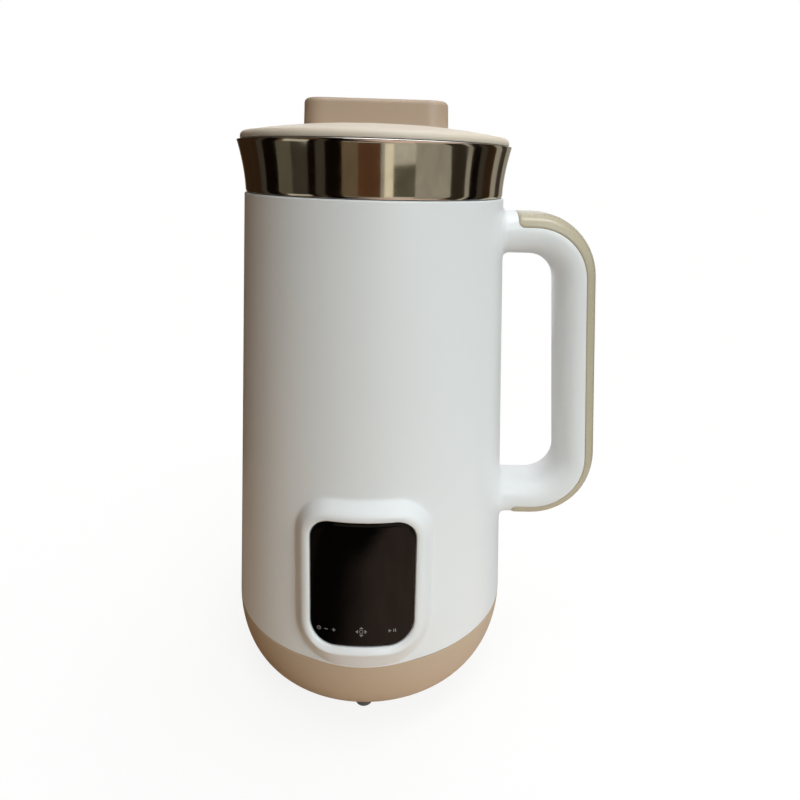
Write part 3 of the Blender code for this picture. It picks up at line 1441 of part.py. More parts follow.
def make_power_inlet():
    face = inlet_face()
    facing = Matrix.Translation((0, face, INLET_LEVEL)) @ Matrix.Rotation(-math.pi / 2, 4, "X")
    inlet = add_object("power_inlet", prism(inlet_outline(0), -INLET_DEPTH, SEAT, facing), DARK_PLASTIC)
    flange = prism(inlet_outline(INLET_FLANGE), SEAT, INLET_FLANGE_THICKNESS, facing)
    body = prism(inlet_outline(0), -INLET_DEPTH / 2, INLET_FLANGE_THICKNESS / 2, facing)
    fuse(inlet, add_object("inlet_body_add", body), add_object("inlet_flange_add", flange))
    mouth = INLET_FLANGE_THICKNESS + OVERRUN
    socket = prism(inlet_outline(-INLET_WALL), INLET_WALL - INLET_DEPTH, mouth, facing)
    carve(inlet, add_object("socket_cut", socket))
    back = INLET_FLANGE_THICKNESS + INLET_DEPTH
    for name, place in pin_places().items():
        hole = pin_block(place, SEAT, back + OVERRUN, back - INLET_WALL - OVERRUN)
        carve(inlet, add_object(name + "_cut", hole))
        pin = pin_block(place, 0, back + PIN_TAIL, PIN_TIP_DEPTH)
        add_object(name, pin, BRASS)


# Handle

def handle_path():
    """The centre line: its points, and at each the outward direction in the handle's plane."""
    top_root = shell_radius(HANDLE_TOP_LEVEL)
    bottom_root = shell_radius(HANDLE_BOTTOM_LEVEL)
    up = Vector((0, 0, 1))
    top = [(Vector((reach, 0, HANDLE_TOP_LEVEL)), up) for reach in arm_points(top_root)]
    bottom = [(Vector((reach, 0, HANDLE_BOTTOM_LEVEL)), -up) for reach in arm_points(bottom_root)]
    return top + handle_bends() + bottom[::-1]


def handle_bends():
    """The two rounded corners, which the straight grip joins."""
    top_reach = shell_radius(HANDLE_TOP_LEVEL) + HANDLE_REACH_TOP
    bottom_reach = shell_radius(HANDLE_BOTTOM_LEVEL) + HANDLE_REACH_BOTTOM
    top_corner = Vector((top_reach, 0, HANDLE_TOP_LEVEL))
    bottom_corner = Vector((bottom_reach, 0, HANDLE_BOTTOM_LEVEL))
    bar = (bottom_corner - top_corner).normalized()
    right = Vector((1, 0, 0))
    return bend(top_corner, right, bar) + bend(bottom_corner, bar, -right)


def arm_points(root):
    """Places along an arm, from inside the wall to the end of its fillet."""
    places = [root - HANDLE_FLARE]
    for step in range(HANDLE_FLARE_STEPS + 1):
        places.append(root + HANDLE_FLARE * step / HANDLE_FLARE_STEPS)
    return places


def bend(corner, before, after):
    """Round a corner of the centre line with an arc."""
    turn = before.angle(after)
    reach = HANDLE_BEND * math.tan(turn / 2)
    start = corner - before * reach
    outward = Vector((-before.z, 0, before.x))
    if outward.dot(after) > 0:
        outward = -outward
    centre = start - outward * HANDLE_BEND
    points = []
    for step in range(HANDLE_BEND_STEPS + 1):
        angle = turn * step / HANDLE_BEND_STEPS
        normal = outward * math.cos(angle) + before * math.sin(angle)
        points.append((centre + normal * HANDLE_BEND, normal))
    return points


def oval_height(across, half_depth, half_thickness):
    """Half thickness of the oval section at a place across it."""
    share = min(abs(across) / half_depth, 1.0)
    return half_thickness * (1 - share ** HANDLE_ROUND_SHARE) ** (1 / HANDLE_ROUND_SHARE)


def oval_section(place, outward, growth):
    points = []
    for step in range(HANDLE_SIDES):
        angle = math.tau * step / HANDLE_SIDES
        across = HANDLE_DEPTH / 2 * power_step(math.sin(angle))
        out = HANDLE_THICKNESS / 2 * power_step(math.cos(angle))
        length = math.hypot(across, out)
        scale = (length + growth) / length
        points.append(place + outward * out * scale + Vector((0, across * scale, 0)))
    return points


def power_step(value):
    return math.copysign(abs(value) ** (2 / HANDLE_ROUND_SHARE), value)


def flare_growth(place):
    """Extra size of an arm's section near the wall, along a round fillet."""
    beyond = place.x - shell_radius(place.z)
    share = 1 - min(max(beyond, 0.0) / HANDLE_FLARE, 1.0)
    return HANDLE_FLARE * (1 - math.sqrt(1 - (share * FLARE_END_SHARE) ** 2))


def shell_clearance_cutter(gap):
    """The outside of the tapered wall as a solid, grown by a gap."""
    low = SHELL_BOTTOM
    profile = [
        (0, low),
        (shell_radius(low) + gap, low),
        (shell_radius(SHELL_TOP) + gap, SHELL_TOP),
        (0, SHELL_TOP),
    ]
    return turned(profile, WIDE_SIDES)


def grip_sections(margin, overrun):
    """Sections of the grip strip, or of its channel when a margin and an overrun are given."""
    sections = []
    half = GRIP_WIDTH / 2 + margin
    floor = GRIP_FLOOR - margin
    for place, outward in grip_path(margin):
        section = [place + outward * floor + Vector((0, side * half, 0)) for side in (1, -1)]
        for step in range(GRIP_ARC_STEPS + 1):
            across = -half + 2 * half * step / GRIP_ARC_STEPS
            out = oval_height(across, HANDLE_DEPTH / 2, HANDLE_THICKNESS / 2) + overrun
            section.append(place + outward * out + Vector((0, across, 0)))
        sections.append(section)
    return sections


def grip_path(margin):
    """The stretch of the centre line that carries the strip."""
    up = Vector((0, 0, 1))
    top = shell_radius(HANDLE_TOP_LEVEL) + GRIP_START_TOP - margin
    bottom = shell_radius(HANDLE_BOTTOM_LEVEL) + GRIP_START_BOTTOM - margin
    start = (Vector((top, 0, HANDLE_TOP_LEVEL)), up)
    end = (Vector((bottom, 0, HANDLE_BOTTOM_LEVEL)), -up)
    return [start] + handle_bends() + [end]


def make_handle():
    sections = [oval_section(place, outward, flare_growth(place)) for place, outward in handle_path()]
    frame = add_object("handle_frame", loft(sections), WHITE_PLASTIC)
    carve(frame, add_object("handle_wall_cut", shell_clearance_cutter(SEAT)))
    carve(frame, add_object("grip_channel_cut", loft(grip_sections(SEAT, OVERRUN))))
    pilots = []
    for level in handle_screw_levels().values():
        start = Vector((inner_radius(level), 0, level))
        pilots.append(rod(HANDLE_SHANK + SEAT, 0, HANDLE_SCREW_REACH + SHELL_WALL + SEAT, SMALL_SIDES,
                          placed(start, (1, 0, 0))))
    carve(frame, add_object("handle_pilot_cut", merged(pilots)))
    add_object("handle_grip", loft(grip_sections(0, 0)), TAN_PLASTIC)


def make_handle_screws():
    for name, level in handle_screw_levels().items():
        start = Vector((inner_radius(level) - 2 * SEAT, 0, level))
        shape = screw_shape(HANDLE_SHANK, HANDLE_HEAD, HANDLE_HEAD_HEIGHT, HANDLE_SCREW_REACH + SHELL_WALL,
                            placed(start, (1, 0, 0)))
        add_object(name, shape, BRUSHED_STEEL)


def make_lid_switch():
    """A magnetic switch in the gap between pot and shell, behind the jug."""
    width, depth, height = SWITCH_SIZE
    near = POT_RADIUS + SEAT
    high = SHELL_TOP - FLANGE_THICKNESS - SEAT
    shape = block((-width / 2, near, high - height), (width / 2, near + depth, high))
    add_object("lid_switch", shape, DARK_PLASTIC)


# Lid

def dome_height(radius):
    """Upper face of the lid cover inside its rounded edge."""
    shoulder = LID_RADIUS - LID_EDGE_ROUND
    return LID_TOP - LID_CROWN * (radius / shoulder) ** 2


def dome_points(lowered):
    shoulder = LID_RADIUS - LID_EDGE_ROUND
    return [
        (shoulder * step / LID_DOME_STEPS, dome_height(shoulder * step / LID_DOME_STEPS) - lowered)
        for step in range(LID_DOME_STEPS + 1)
    ]


def make_lid_cover():
    shoulder = LID_RADIUS - LID_EDGE_ROUND
    edge_low = LID_BOTTOM + LID_EDGE_ROUND / 3
    edge_high = LID_SHOULDER - LID_EDGE_ROUND
    rounded = arc_points((shoulder, edge_high), LID_EDGE_ROUND, math.pi / 2, 0, LID_EDGE_STEPS)[1:]
    under = [
        (LID_RADIUS, edge_low),
        (LID_RADIUS - LID_EDGE_ROUND / 3, LID_BOTTOM),
        (LINER_RADIUS - LINER_WALL, LID_BOTTOM),
    ]
    limit = LINER_RADIUS - 2 * LINER_WALL
    inside = [(radius, height) for radius, height in dome_points(LID_WALL) if radius < limit]
    profile = dome_points(0) + rounded + under + inside[::-1]
    cover = add_object("lid_cover", turned(profile, WIDE_SIDES), BEIGE_PLASTIC)
    holes = []
    for place in vent_places():
        holes.append(rod(VENT_HOLE_RADIUS, LID_BOTTOM - OVERRUN, LID_TOP + OVERRUN, SMALL_SIDES, place))
    for side in (-1, 1):
        place = Matrix.Translation((side * KNOB_SCREW_SPACING / 2, 0, 0))
        holes.append(rod(TAPPING_SHANK + SEAT, LID_BOTTOM - OVERRUN, LID_TOP + OVERRUN, SMALL_SIDES, place))
    carve(cover, add_object("lid_hole_cut", merged(holes)))
    return cover


def vent_places():
    """Steam holes in a row behind the knob."""
    back = KNOB_DEPTH / 2 + VENT_HOLES_BEHIND
    return [Matrix.Translation((step * VENT_HOLE_PITCH, back, 0)) for step in (-1, 0, 1)]


def make_lid_liner():
    inner = LINER_RADIUS - LINER_WALL
    plug_inner = LINER_PLUG_RADIUS - LINER_WALL
    profile = [
        (0, LINER_BOTTOM),
        (LINER_PLUG_RADIUS - LINER_WALL / 2, LINER_BOTTOM),
        (LINER_PLUG_RADIUS, LINER_BOTTOM + LINER_WALL / 2),
        (LINER_PLUG_RADIUS, LINER_FLANGE_LEVEL),
        (LINER_RADIUS, LINER_FLANGE_LEVEL),
        (LINER_RADIUS, LINER_TOP),
        (inner, LINER_TOP),
        (inner, LINER_FLANGE_LEVEL + LINER_WALL),
        (plug_inner, LINER_FLANGE_LEVEL + LINER_WALL),
        (plug_inner, LINER_BOTTOM + LINER_WALL),
        (0, LINER_BOTTOM + LINER_WALL),
    ]
    liner = add_object("lid_liner", turned(profile, WIDE_SIDES), WHITE_PLASTIC)
    low = LINER_BOTTOM - OVERRUN
    high = LINER_BOTTOM + LINER_WALL + OVERRUN
    holes = [rod(VENT_HOLE_RADIUS, low, high, SMALL_SIDES, place) for place in vent_places()]
    carve(liner, add_object("liner_hole_cut", merged(holes)))
    return liner


def make_lid_seal():
    """A ring that closes the step between the liner's plug and its flange."""
    low = POT_SHOULDER + POT_WALL + SEAT
    high = LINER_FLANGE_LEVEL - SEAT
    inner = LINER_PLUG_RADIUS + SEAT
    outer = LINER_RADIUS - SEAL_SIDE_GAP
    neck = POT_RADIUS + SHOULDER_ROUND
    lip = (high - low) / 3
    profile = [
        (inner, low + lip),
        (neck, low),
        (outer - lip, low),
        (outer, low + lip),
        (outer, high),
        (inner, high),
    ]
    return add_object("lid_seal", turned(profile, WIDE_SIDES), CLEAR_SILICONE)


def make_lid_knob():
    """The oblong bar, with a rounded top edge and an underside that follows the dome."""
    sections = []
    levels = [(LID_SHOULDER - LID_WALL, 0.0)]
    for step in range(KNOB_EDGE_STEPS + 1):
        angle = math.pi / 2 * step / KNOB_EDGE_STEPS
        levels.append((KNOB_TOP - KNOB_EDGE * (1 - math.sin(angle)), KNOB_EDGE * (1 - math.cos(angle))))
    for level, inset in levels:
        half_length = KNOB_LENGTH / 2 - inset
        half_depth = KNOB_DEPTH / 2 - inset
        corner = KNOB_CORNER - inset
        outline = rounded_outline(half_length, -half_depth, half_depth, corner, corner, CORNER_STEPS)
        sections.append([Vector((x, y, level)) for x, y in outline])
    knob = add_object("lid_knob", loft(sections), BEIGE_PLASTIC)
    dome = [(0, LID_BOTTOM), (LID_RADIUS, LID_BOTTOM)] + dome_points(-SEAT)[::-1]
    carve(knob, add_object("knob_dome_cut", turned(dome, WIDE_SIDES)))
    pilots = []
    for side in (-1, 1):
        place = Matrix.Translation((side * KNOB_SCREW_SPACING / 2, 0, knob_screw_level()))
        pilots.append(rod(TAPPING_SHANK + SEAT, 0, KNOB_SCREW_LENGTH + SEAT, SMALL_SIDES, place))
    carve(knob, add_object("knob_pilot_cut", merged(pilots)))
    return knob


def knob_screw_level():
    """Underside of the lid cover at the knob's screws."""
    return dome_height(KNOB_SCREW_SPACING / 2) - LID_WALL - 2 * SEAT


def make_lid_screws():
    screws = []
    for number, side in ((1, -1), (2, 1)):
        place = Matrix.Translation((side * KNOB_SCREW_SPACING / 2, 0, knob_screw_level()))
        shape = screw_shape(TAPPING_SHANK, TAPPING_HEAD, TAPPING_HEAD_HEIGHT, KNOB_SCREW_LENGTH, place)
        screws.append(add_object(f"lid_screw_{number}", shape, BRUSHED_STEEL))
    return screws


def make_lid_magnet():
    """The magnet that works the lid switch, standing on the liner's floor behind the jug."""
    width, depth, height = MAGNET_SIZE
    low = LINER_BOTTOM + LINER_WALL + SEAT
    wall = LINER_PLUG_RADIUS - LINER_WALL
    far = math.sqrt(wall ** 2 - (width / 2) ** 2) - 2 * SEAT
    shape = block((-width / 2, far - depth, low), (width / 2, far, low + height))
    return add_object("lid_magnet", shape, FERRITE)


def main():
    clear_scene()
    make_outer_shell()
    make_base_shell()
    make_bottom_cover()
    make_bottom_screws()
    make_feet()
    make_steel_pot()
    make_pot_gasket()
    make_heat_plate()
    make_heating_ring()
    make_temperature_sensor()
    make_overflow_probe()
    make_shaft_seat()
    make_seat_nut()
    make_motor_can()
    bearing_low = make_motor_end_cap()
    make_bearing_upper()
    make_magnets()
    make_motor_bracket()
    make_bracket_screws()
    make_touch_glass()
    make_control_board()
    make_display_module()
    make_power_board()
    make_power_inlet()
    make_handle()
    make_handle_screws()
    make_lid_switch()
    lid = [make_lid_cover(), make_lid_liner(), make_lid_seal(), make_lid_knob(), make_lid_magnet()]
    lid += make_lid_screws()
    joint_empty("lid_lift", (0, 0, LID_BOTTOM), lid)
    rotor = make_blades() + [make_blade_nut(), make_blade_shaft(), make_shaft_coupling()]
    rotor += make_rotor(bearing_low)
    joint_empty("rotor_spin", (0, 0, SHAFT_JOIN), rotor)


main()
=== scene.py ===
import math

import bmesh
import bpy
from mathutils import Matrix, Vector


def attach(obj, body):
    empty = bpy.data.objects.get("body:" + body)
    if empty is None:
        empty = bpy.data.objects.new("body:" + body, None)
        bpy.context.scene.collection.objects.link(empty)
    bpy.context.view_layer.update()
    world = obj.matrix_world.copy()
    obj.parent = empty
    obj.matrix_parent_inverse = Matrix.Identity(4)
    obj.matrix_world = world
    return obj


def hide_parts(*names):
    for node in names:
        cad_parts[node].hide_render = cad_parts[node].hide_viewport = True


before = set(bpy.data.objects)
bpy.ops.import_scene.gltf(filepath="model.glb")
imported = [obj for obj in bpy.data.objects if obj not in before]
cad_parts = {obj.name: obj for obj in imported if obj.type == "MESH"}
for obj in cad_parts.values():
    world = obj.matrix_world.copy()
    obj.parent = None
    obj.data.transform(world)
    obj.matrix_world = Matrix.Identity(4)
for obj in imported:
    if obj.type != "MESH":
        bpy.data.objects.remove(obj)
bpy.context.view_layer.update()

# All lengths are in metres, in the frame of the CAD: the panel faces -Y and the handle is on +X.

# Shell
SHELL_BOTTOM = 0.0305
SHELL_TOP = 0.2193
SHELL_TOP_RADIUS = 0.0560
SHELL_FLARE = 0.0081
SHELL_WALL = 0.0025
SHELL_EDGE = 0.0008
SHELL_ROUND = 0.00056
SHELL_FOOT_EDGE = 0.00015
FLANGE_INNER = 0.0511
FLANGE_THICKNESS = 0.0030
WALL_LOW = SHELL_BOTTOM + SHELL_FOOT_EDGE
WALL_HIGH = SHELL_TOP - SHELL_EDGE

# Rows of the wall's grid: top of each band and its count of rows
ROW_BANDS = (
    (0.0370, 5),
    (0.0625, 17),
    (0.0674, 4),
    (0.0949, 18),
    (0.1105, 11),
    (0.1880, 31),
    (0.2182, 22),
    (WALL_HIGH, 1),
)

# Columns of the wall's grid, in degrees from -X: end of each band and its count of columns
COLUMN_BANDS = (
    (58, 20),
    (122, 60),
    (158, 14),
    (202, 34),
    (251, 18),
    (289, 26),
    (360, 26),
)

# Patches of the grid that something moulded grows out of: columns in degrees, then low and high row
PANEL_PATCH = (58, 122, WALL_LOW, 0.1105)
UPPER_ARM_PATCH = (158, 202, 0.1880, 0.2182)
LOWER_ARM_PATCH = (158, 202, 0.0625, 0.0949)
INLET_PATCH = (251, 289, 0.0370, 0.0674)

# Panel: the pane, the lip round it, and the housing's slopes from its foot up to the lip
GLASS_HALF = 0.0201
GLASS_LOW = 0.0424
GLASS_HIGH = 0.0963
GLASS_LOW_CORNER = 0.0100
GLASS_HIGH_CORNER = 0.0080
GLASS_FACE = 0.0039
GLASS_BACK = 0.0016
GLASS_BEVEL = 0.00035
LIP_WIDTH = 0.0021
LIP_ROUND = 0.0016
LIP_DROP = 0.0008
HOUSING_RISE = 0.0048
SIDE_SLOPE = 0.0074
TOP_SLOPE = 0.0062
FOOT_LOW = 0.0309
SLOPE_STEPS = 12
LIP_STEPS = 6
PATCH_SHARES = (0.3, 0.6, 0.85)
POCKET_SHARES = (0.8, 0.55, 0.3, 0.08)
GLASS_COUNTS = (48, 52, 48, 52)
GLASS_BACK_SHARES = (0.05, 0.3, 0.6, 0.85, 1.0)
GLASS_FACE_SHARES = (0.94, 0.85, 0.7, 0.5, 0.3, 0.05)
BEVEL_STEPS = 4
FOOT_ROUND_SHARE = 0.16
CREST_ROUND_SHARE = 0.34
POCKET_GAP = 0.0003

# Below the pane the lip gets wider, stands out further and falls in a slope with a round edge
LOW_LIP_FROM = 0.0530
LOW_LIP_WIDENING = 1.3
LOW_LIP_DROP = 0.0016
LOW_LIP_RISE = 0.0007
LOW_LIP_CRISPNESS = 0.75
LOW_LIP_SLOPE = 0.8
LOW_LIP_POWER = 1.3
LOW_LIP_EDGE_POWER = 8

# The housing's foot stands out over the base as a ledge
LEDGE_HALF = 0.0240
LEDGE_HIGH = 0.0395
LEDGE_OUT = 0.0014
LEDGE_POWER = 1.5

# Touch marks: places across the glass from its middle, then sizes
MARK_LEVEL = GLASS_LOW + 0.0068
CLOCK_PLACE = -0.0165
MINUS_PLACE = -0.0136
PLUS_PLACE = -0.0106
PAD_PLACE = 0.0
PLAY_PLACE = 0.0109
PAUSE_PLACES = (0.01235, 0.01305)
MARK_LOW = GLASS_FACE - 0.00004
MARK_HIGH = GLASS_FACE + 0.00003
MARK_REACH = 0.0007
MARK_HALF_LINE = 0.00016
RING_WIDTH = 0.00022
RING_SIDES = 28
CLOCK_RADIUS = 0.00085
HAND_HALF = 0.00011
LONG_HAND = 0.00055
SHORT_HAND = 0.0004
PAD_RADIUS = 0.00080
PAD_ARROW = ((-0.0008, 0.00125), (0.0008, 0.00125), (0, 0.0022))
PLAY_HALF = 0.00055

# Handle: heights of its two arms, and how far its bar's centre line reaches from the wall there
ARM_TOP = 0.2046
ARM_LOW = 0.0787
REACH_TOP = 0.0322
REACH_LOW = 0.0364
HANDLE_DEPTH = 0.0280
HANDLE_THICKNESS = 0.0184
HANDLE_POWER = 2.3
BEND_RADIUS = 0.0206
INNER_RADIUS = 0.0126
ARM_FILLET = 0.0028
FILLET_STEPS = 6
BEND_STEPS = 14
ARM_STATIONS = 8
GRIP_STATIONS = 40
CROWN_STEPS = 160

# Grip strip: it lies in a rebate of the handle's crown, starts off the wall and has a ridge on each side
GRIP_SIDE_OUT = 0.0030
GRIP_START_TOP = 0.0055
GRIP_START_LOW = 0.0050
GRIP_GAP = 0.00012
GRIP_PROUD = 0.0002
GRIP_SUNK = 0.0015
GRIP_EDGE = 0.0011
REBATE_DEPTH = 0.0012
REBATE_DRAFT = 0.00005
GRIP_CORNER = 0.0028
GRIP_END_SHARES = (0.03, 0.09, 0.18, 0.3, 0.45, 0.62, 0.8)
GRIP_END_CLEAR = 0.9 * GRIP_CORNER
GRIP_COLUMNS = 40
GRIP_RIDGE = 0.0004
GRIP_RIDGE_PLACE = 0.0038
GRIP_RIDGE_WIDTH = 0.0020

RIGHT = Vector((1, 0, 0))
UP = Vector((0, 0, 1))

# Base, cover and feet
SPLIT = 0.0302
BASE_FLAT = 0.0472
BASE_EDGE = 0.0002
BASE_FLOOR = 0.0053
LAP_TOP = SPLIT + 0.0040
LAP_IN = 0.0046
LAP_OUT = 0.0031
LAP_STEP = 0.0029
COVER_SEAT = 0.0412
SEAT_WIDTH = 0.0103
SEAT_LEVEL = 0.0028
COVER_RADIUS = 0.0409
COVER_THICKNESS = 0.0025
COVER_EDGE = 0.0006
COVER_DISH = 0.0003
COVER_DISH_RADIUS = 0.0100
COVER_DISH_SLOPE = 0.0004
VENT_COUNT = 12
VENT_START = 0.0120
VENT_END = 0.0270
VENT_HALF = 0.0011
CUT_LOW = -0.001
CUT_HIGH = 0.005
FOOT_RADIUS = 0.0040
FOOT_TAPER = 0.0002
FOOT_TOP = 0.0012
FOOT_ROUND = 0.0010
FOOT_TOP_ROUND = 0.0002
FOOT_CIRCLE = 0.0474
FOOT_ANGLES = {"foot_front": -math.pi / 2, "foot_rear_right": math.pi / 6, "foot_rear_left": math.pi * 5 / 6}

# Bottom screws. The pan head's profile is in shares of its radius and height; the cross is cut up to
# CROSS_LEVEL. The sink is cut out of the cover: a chamfer, a recess for the head and a hole.
SCREW_CIRCLE = COVER_SEAT - SEAT_WIDTH / 2
SCREW_LEVEL = 0.0016
SCREW_SHANK = 0.0015
SCREW_LENGTH = 0.0090
HEAD_RADIUS = 0.0030
HEAD_HEIGHT = 0.0016
PAN_HEAD = ((0, 1), (0.55, 1), (0.85, 0.75), (1, 0.3), (1, 0))
CROSS_HALF = 0.0015
CROSS_HALF_WIDTH = 0.00036
CROSS_LEVEL = -0.00072
SCREW_SINK = ((0, CUT_LOW), (0.0037, CUT_LOW), (0.0033, 0.0004), (0.0033, 0.0019), (0.0018, 0.0019),
              (0.0018, CUT_HIGH), (0, CUT_HIGH))

# Steel pot
COLLAR_FOOT = 0.2197
RIM = 0.2406
COLLAR_RADIUS = 0.0555
COLLAR_FLARE = 0.0030
COLLAR_POWER = 1.8
POT_WALL = 0.0008
POT_RADIUS = 0.0500
POT_BOTTOM = 0.1033
POT_CORNER = 0.0110
POT_HOLE = 0.0097
SHOULDER_ROUND = 0.0012
SHOULDER_UNDER_ROUND = 0.0006
SHOULDER_SHORT = 0.0003
COLLAR_LEVELS = 26

# Lid
LID_BOTTOM = 0.2409
LID_RADIUS = 0.0571
LID_SHOULDER = 0.2441
LID_TOP = 0.2484
LID_EDGE = 0.0022
LID_DROP_POWER = 2.36
LID_WALL = 0.0025
LID_LIP_ROUND = 0.0004
LID_LIP_BEVEL = 0.0001
LID_DOME_STEPS = 24
LID_EDGE_STEPS = 10

# Liner and seal under the lid's cover
LINER_RADIUS = 0.0540
LINER_BOTTOM = 0.2065
LINER_PLUG = 0.0485
LINER_FLANGE = 0.2237
LINER_TOP = 0.2406
LINER_WALL = 0.0018
LINER_EDGE = 0.0003
LINER_BEND = 0.0004
LINER_RIM_EDGE = 0.0006
LINER_CORNER = 0.0016
LINER_INNER_CORNER = 0.0012
SEAL_GAP = 0.0003
SEAL_INSET = 0.0004
SEAL_EDGE = 0.0003
SEAL_BEND = 0.0004
SEAL_LIP_EDGE = 0.0005
SEAL_LIP_OUT = 0.0010

# Knob
KNOB_HALF = 0.03075
KNOB_HALF_DEPTH = 0.0115
KNOB_TOP = 0.2590
KNOB_CORNER = 0.0092
KNOB_EDGE = 0.0022
KNOB_FILLET = 0.0007
KNOB_GAP = 0.00005
KNOB_SUNK = 0.0006
KNOB_DRAFT = 0.0003
KNOB_CROWN = 0.00045
KNOB_FILLET_STEPS = 5
KNOB_EDGE_STEPS = 10
KNOB_COUNTS = (40, 24, 40, 24)
KNOB_SIDE_SHARES = (0.25, 0.6)
KNOB_TOP_SHARES = (0.88, 0.7, 0.45, 0.2, 0.04)

# Steam holes behind the knob
STEAM_PLACES = (-0.0060, 0.0, 0.0060)
STEAM_BEHIND = 0.0175
STEAM_RADIUS = 0.0013
STEAM_MOUTH = 0.0019
STEAM_CHAMFER_LOW = -0.0003
STEAM_CHAMFER_HIGH = 0.0004
CUT_PAST = 0.002

# Power inlet
INLET_LEVEL = 0.0522
INLET_FACE = 0.06060
INLET_HALF = 0.0135
INLET_HALF_HEIGHT = 0.0099
INLET_CUT = 0.0045
INLET_FLANGE = 0.0020
INLET_DEPTH = 0.0180
FLANGE_CORNER = 0.0024
HOLE_CORNER = 0.0018
PAD_CORNER = 0.0030
INLET_PATCH_SHARES = (0.35, 0.7, 1.0)
PAD_MARGIN = 0.0030
PAD_DEPTH = 0.0040
INLET_WALL = 0.0014
INLET_PROUD = 0.0015

# Rings of the inlet from its back round its flange to the socket's floor: how far each is grown, its
# corners' radius and how far it stands out from the flange's seat
INLET_RINGS = (
    (0.0, 0.0016, -INLET_DEPTH),
    (0.0, 0.0016, POCKET_GAP),
    (INLET_FLANGE, FLANGE_CORNER, POCKET_GAP),
    (INLET_FLANGE, FLANGE_CORNER, INLET_PROUD - 0.0005),
    (INLET_FLANGE - 0.00015, 0.0023, INLET_PROUD - 0.00015),
    (INLET_FLANGE - 0.0005, 0.0021, INLET_PROUD),
    (-INLET_WALL + 0.0004, 0.0013, INLET_PROUD),
    (-INLET_WALL + 0.0001, 0.0012, INLET_PROUD - 0.0001),
    (-INLET_WALL, 0.0012, INLET_PROUD - 0.0004),
    (-INLET_WALL, 0.0012, INLET_WALL - INLET_DEPTH),
)

# Inlet pins: place across and up from the inlet's middle, then rings from root to tip, with half a
# pin's width, half its height and how far each lies behind the tip
PIN_PLACES = {
    "inlet_pin_line": (-0.0070, -0.0020),
    "inlet_pin_neutral": (0.0070, -0.0020),
    "inlet_pin_earth": (0.0, 0.0020),
}
PIN_TIP = INLET_FACE + INLET_PROUD - 0.0030
PIN_RINGS = (
    (0.0010, 0.0020, 0.0205),
    (0.0010, 0.0020, 0.0012),
    (0.0009, 0.0019, 0.0006),
    (0.0007, 0.0016, 0.00015),
    (0.0005, 0.0013, 0.0),
)

# The floor's level, and values that the meshes share
FLOOR = -0.0030
HALF_ROUND_STEPS = 8
SMOOTH_ANGLE = math.radians(32)
MERGE_DISTANCE = 1e-7
TINY = 1e-12


# Lines and outlines

def wall_radius(height):
    return SHELL_TOP_RADIUS + SHELL_FLARE * (SHELL_TOP - height) / (SHELL_TOP - SHELL_BOTTOM)


def steps_to(end, count):
    """Equal steps from 0 to an end, both included."""
    return [end * step / count for step in range(count + 1)]


def polar(radius, angle, height):
    return Vector((radius * math.cos(angle), radius * math.sin(angle), height))


def eased(value):
    """A share from 0 to 1 that starts and ends softly."""
    share = max(min(value, 1), 0)
    return share * share * (3 - 2 * share)


def lengths_along(points):
    """How far each point lies from the first along the line through them."""
    lengths = [0.0]
    for first, second in zip(points, points[1:]):
        lengths.append(lengths[-1] + (second - first).length)
    return lengths


def softened(corners, steps=6, closed=True):
    """A line through (x, y, radius) corners, each rounded with its own radius."""
    points = []
    count = len(corners)
    for index, (x, y, radius) in enumerate(corners):
        here = Vector((x, y))
        at_end = not closed and index in (0, count - 1)
        if radius == 0 or at_end:
            points.append(here)
            continue
        before = (Vector(corners[index - 1][:2]) - here).normalized()
        after = (Vector(corners[(index + 1) % count][:2]) - here).normalized()
        half = before.angle(after) / 2
        centre = here + (before + after).normalized() * (radius / math.sin(half))
        start = here + before * (radius / math.tan(half)) - centre
        end = here + after * (radius / math.tan(half)) - centre
        for angle in steps_to(-start.angle_signed(end), steps):
            cosine, sine = math.cos(angle), math.sin(angle)
            spoke = Vector((start.x * cosine - start.y * sine, start.x * sine + start.y * cosine))
            points.append(centre + spoke)
    return points


def resampled(line, count):
    """Points at equal distances along a line, its two ends included."""
    lengths = lengths_along(line)
    points = []
    index = 0
    for goal in steps_to(lengths[-1], count):
        while index < len(line) - 2 and lengths[index + 1] < goal:
            index += 1
        share = (goal - lengths[index]) / max(lengths[index + 1] - lengths[index], TINY)
        points.append(line[index].lerp(line[index + 1], min(max(share, 0.0), 1.0)))
    return points


def quartered(outline, counts):
    """Resample a closed outline that is drawn in four equal-step quarters, one count for each."""
    length = len(outline) // 4
    points = []
    for quarter, count in enumerate(counts):
        start = quarter * length
        piece = [outline[(start + step) % len(outline)] for step in range(length + 1)]
        points.extend(resampled(piece, count)[:-1])
    return points


def rounded_box(half, low, high, low_corner, high_corner, steps=24):
    """A rounded rectangle in four pieces that start in the middle of each corner, low left first."""
    corners = (
        (half - low_corner, low + low_corner, low_corner),
        (half - high_corner, high - high_corner, high_corner),
        (high_corner - half, high - high_corner, high_corner),
        (low_corner - half, low + low_corner, low_corner),
    )
    outline = []
    for side in range(4):
        start = (2 * side - 3) * math.pi / 4
        for x, y, radius in (corners[side - 1], corners[side]):
            for angle in steps_to(math.pi / 4, steps):
                outline.append(Vector((x, y)) + polar(radius, start + angle, 0).xy)
            start += math.pi / 4
        outline.pop()
    return outline


def box(left, low, right, high):
    """A rectangle's corners."""
    return [(left, low), (right, low), (right, high), (left, high)]


def squared(value, power):
    """A sine or cosine, reshaped from a circle's to a squared oval's."""
    return math.copysign(abs(value) ** (2 / power), value)


def oval(half_width, half_height, power, steps=240):
    """A squared oval that starts low left."""
    angles = (math.tau * step / steps - 3 * math.pi / 4 for step in range(steps))
    return [
        Vector((half_width * squared(math.cos(a), power), half_height * squared(math.sin(a), power)))
        for a in angles
    ]


# Meshes

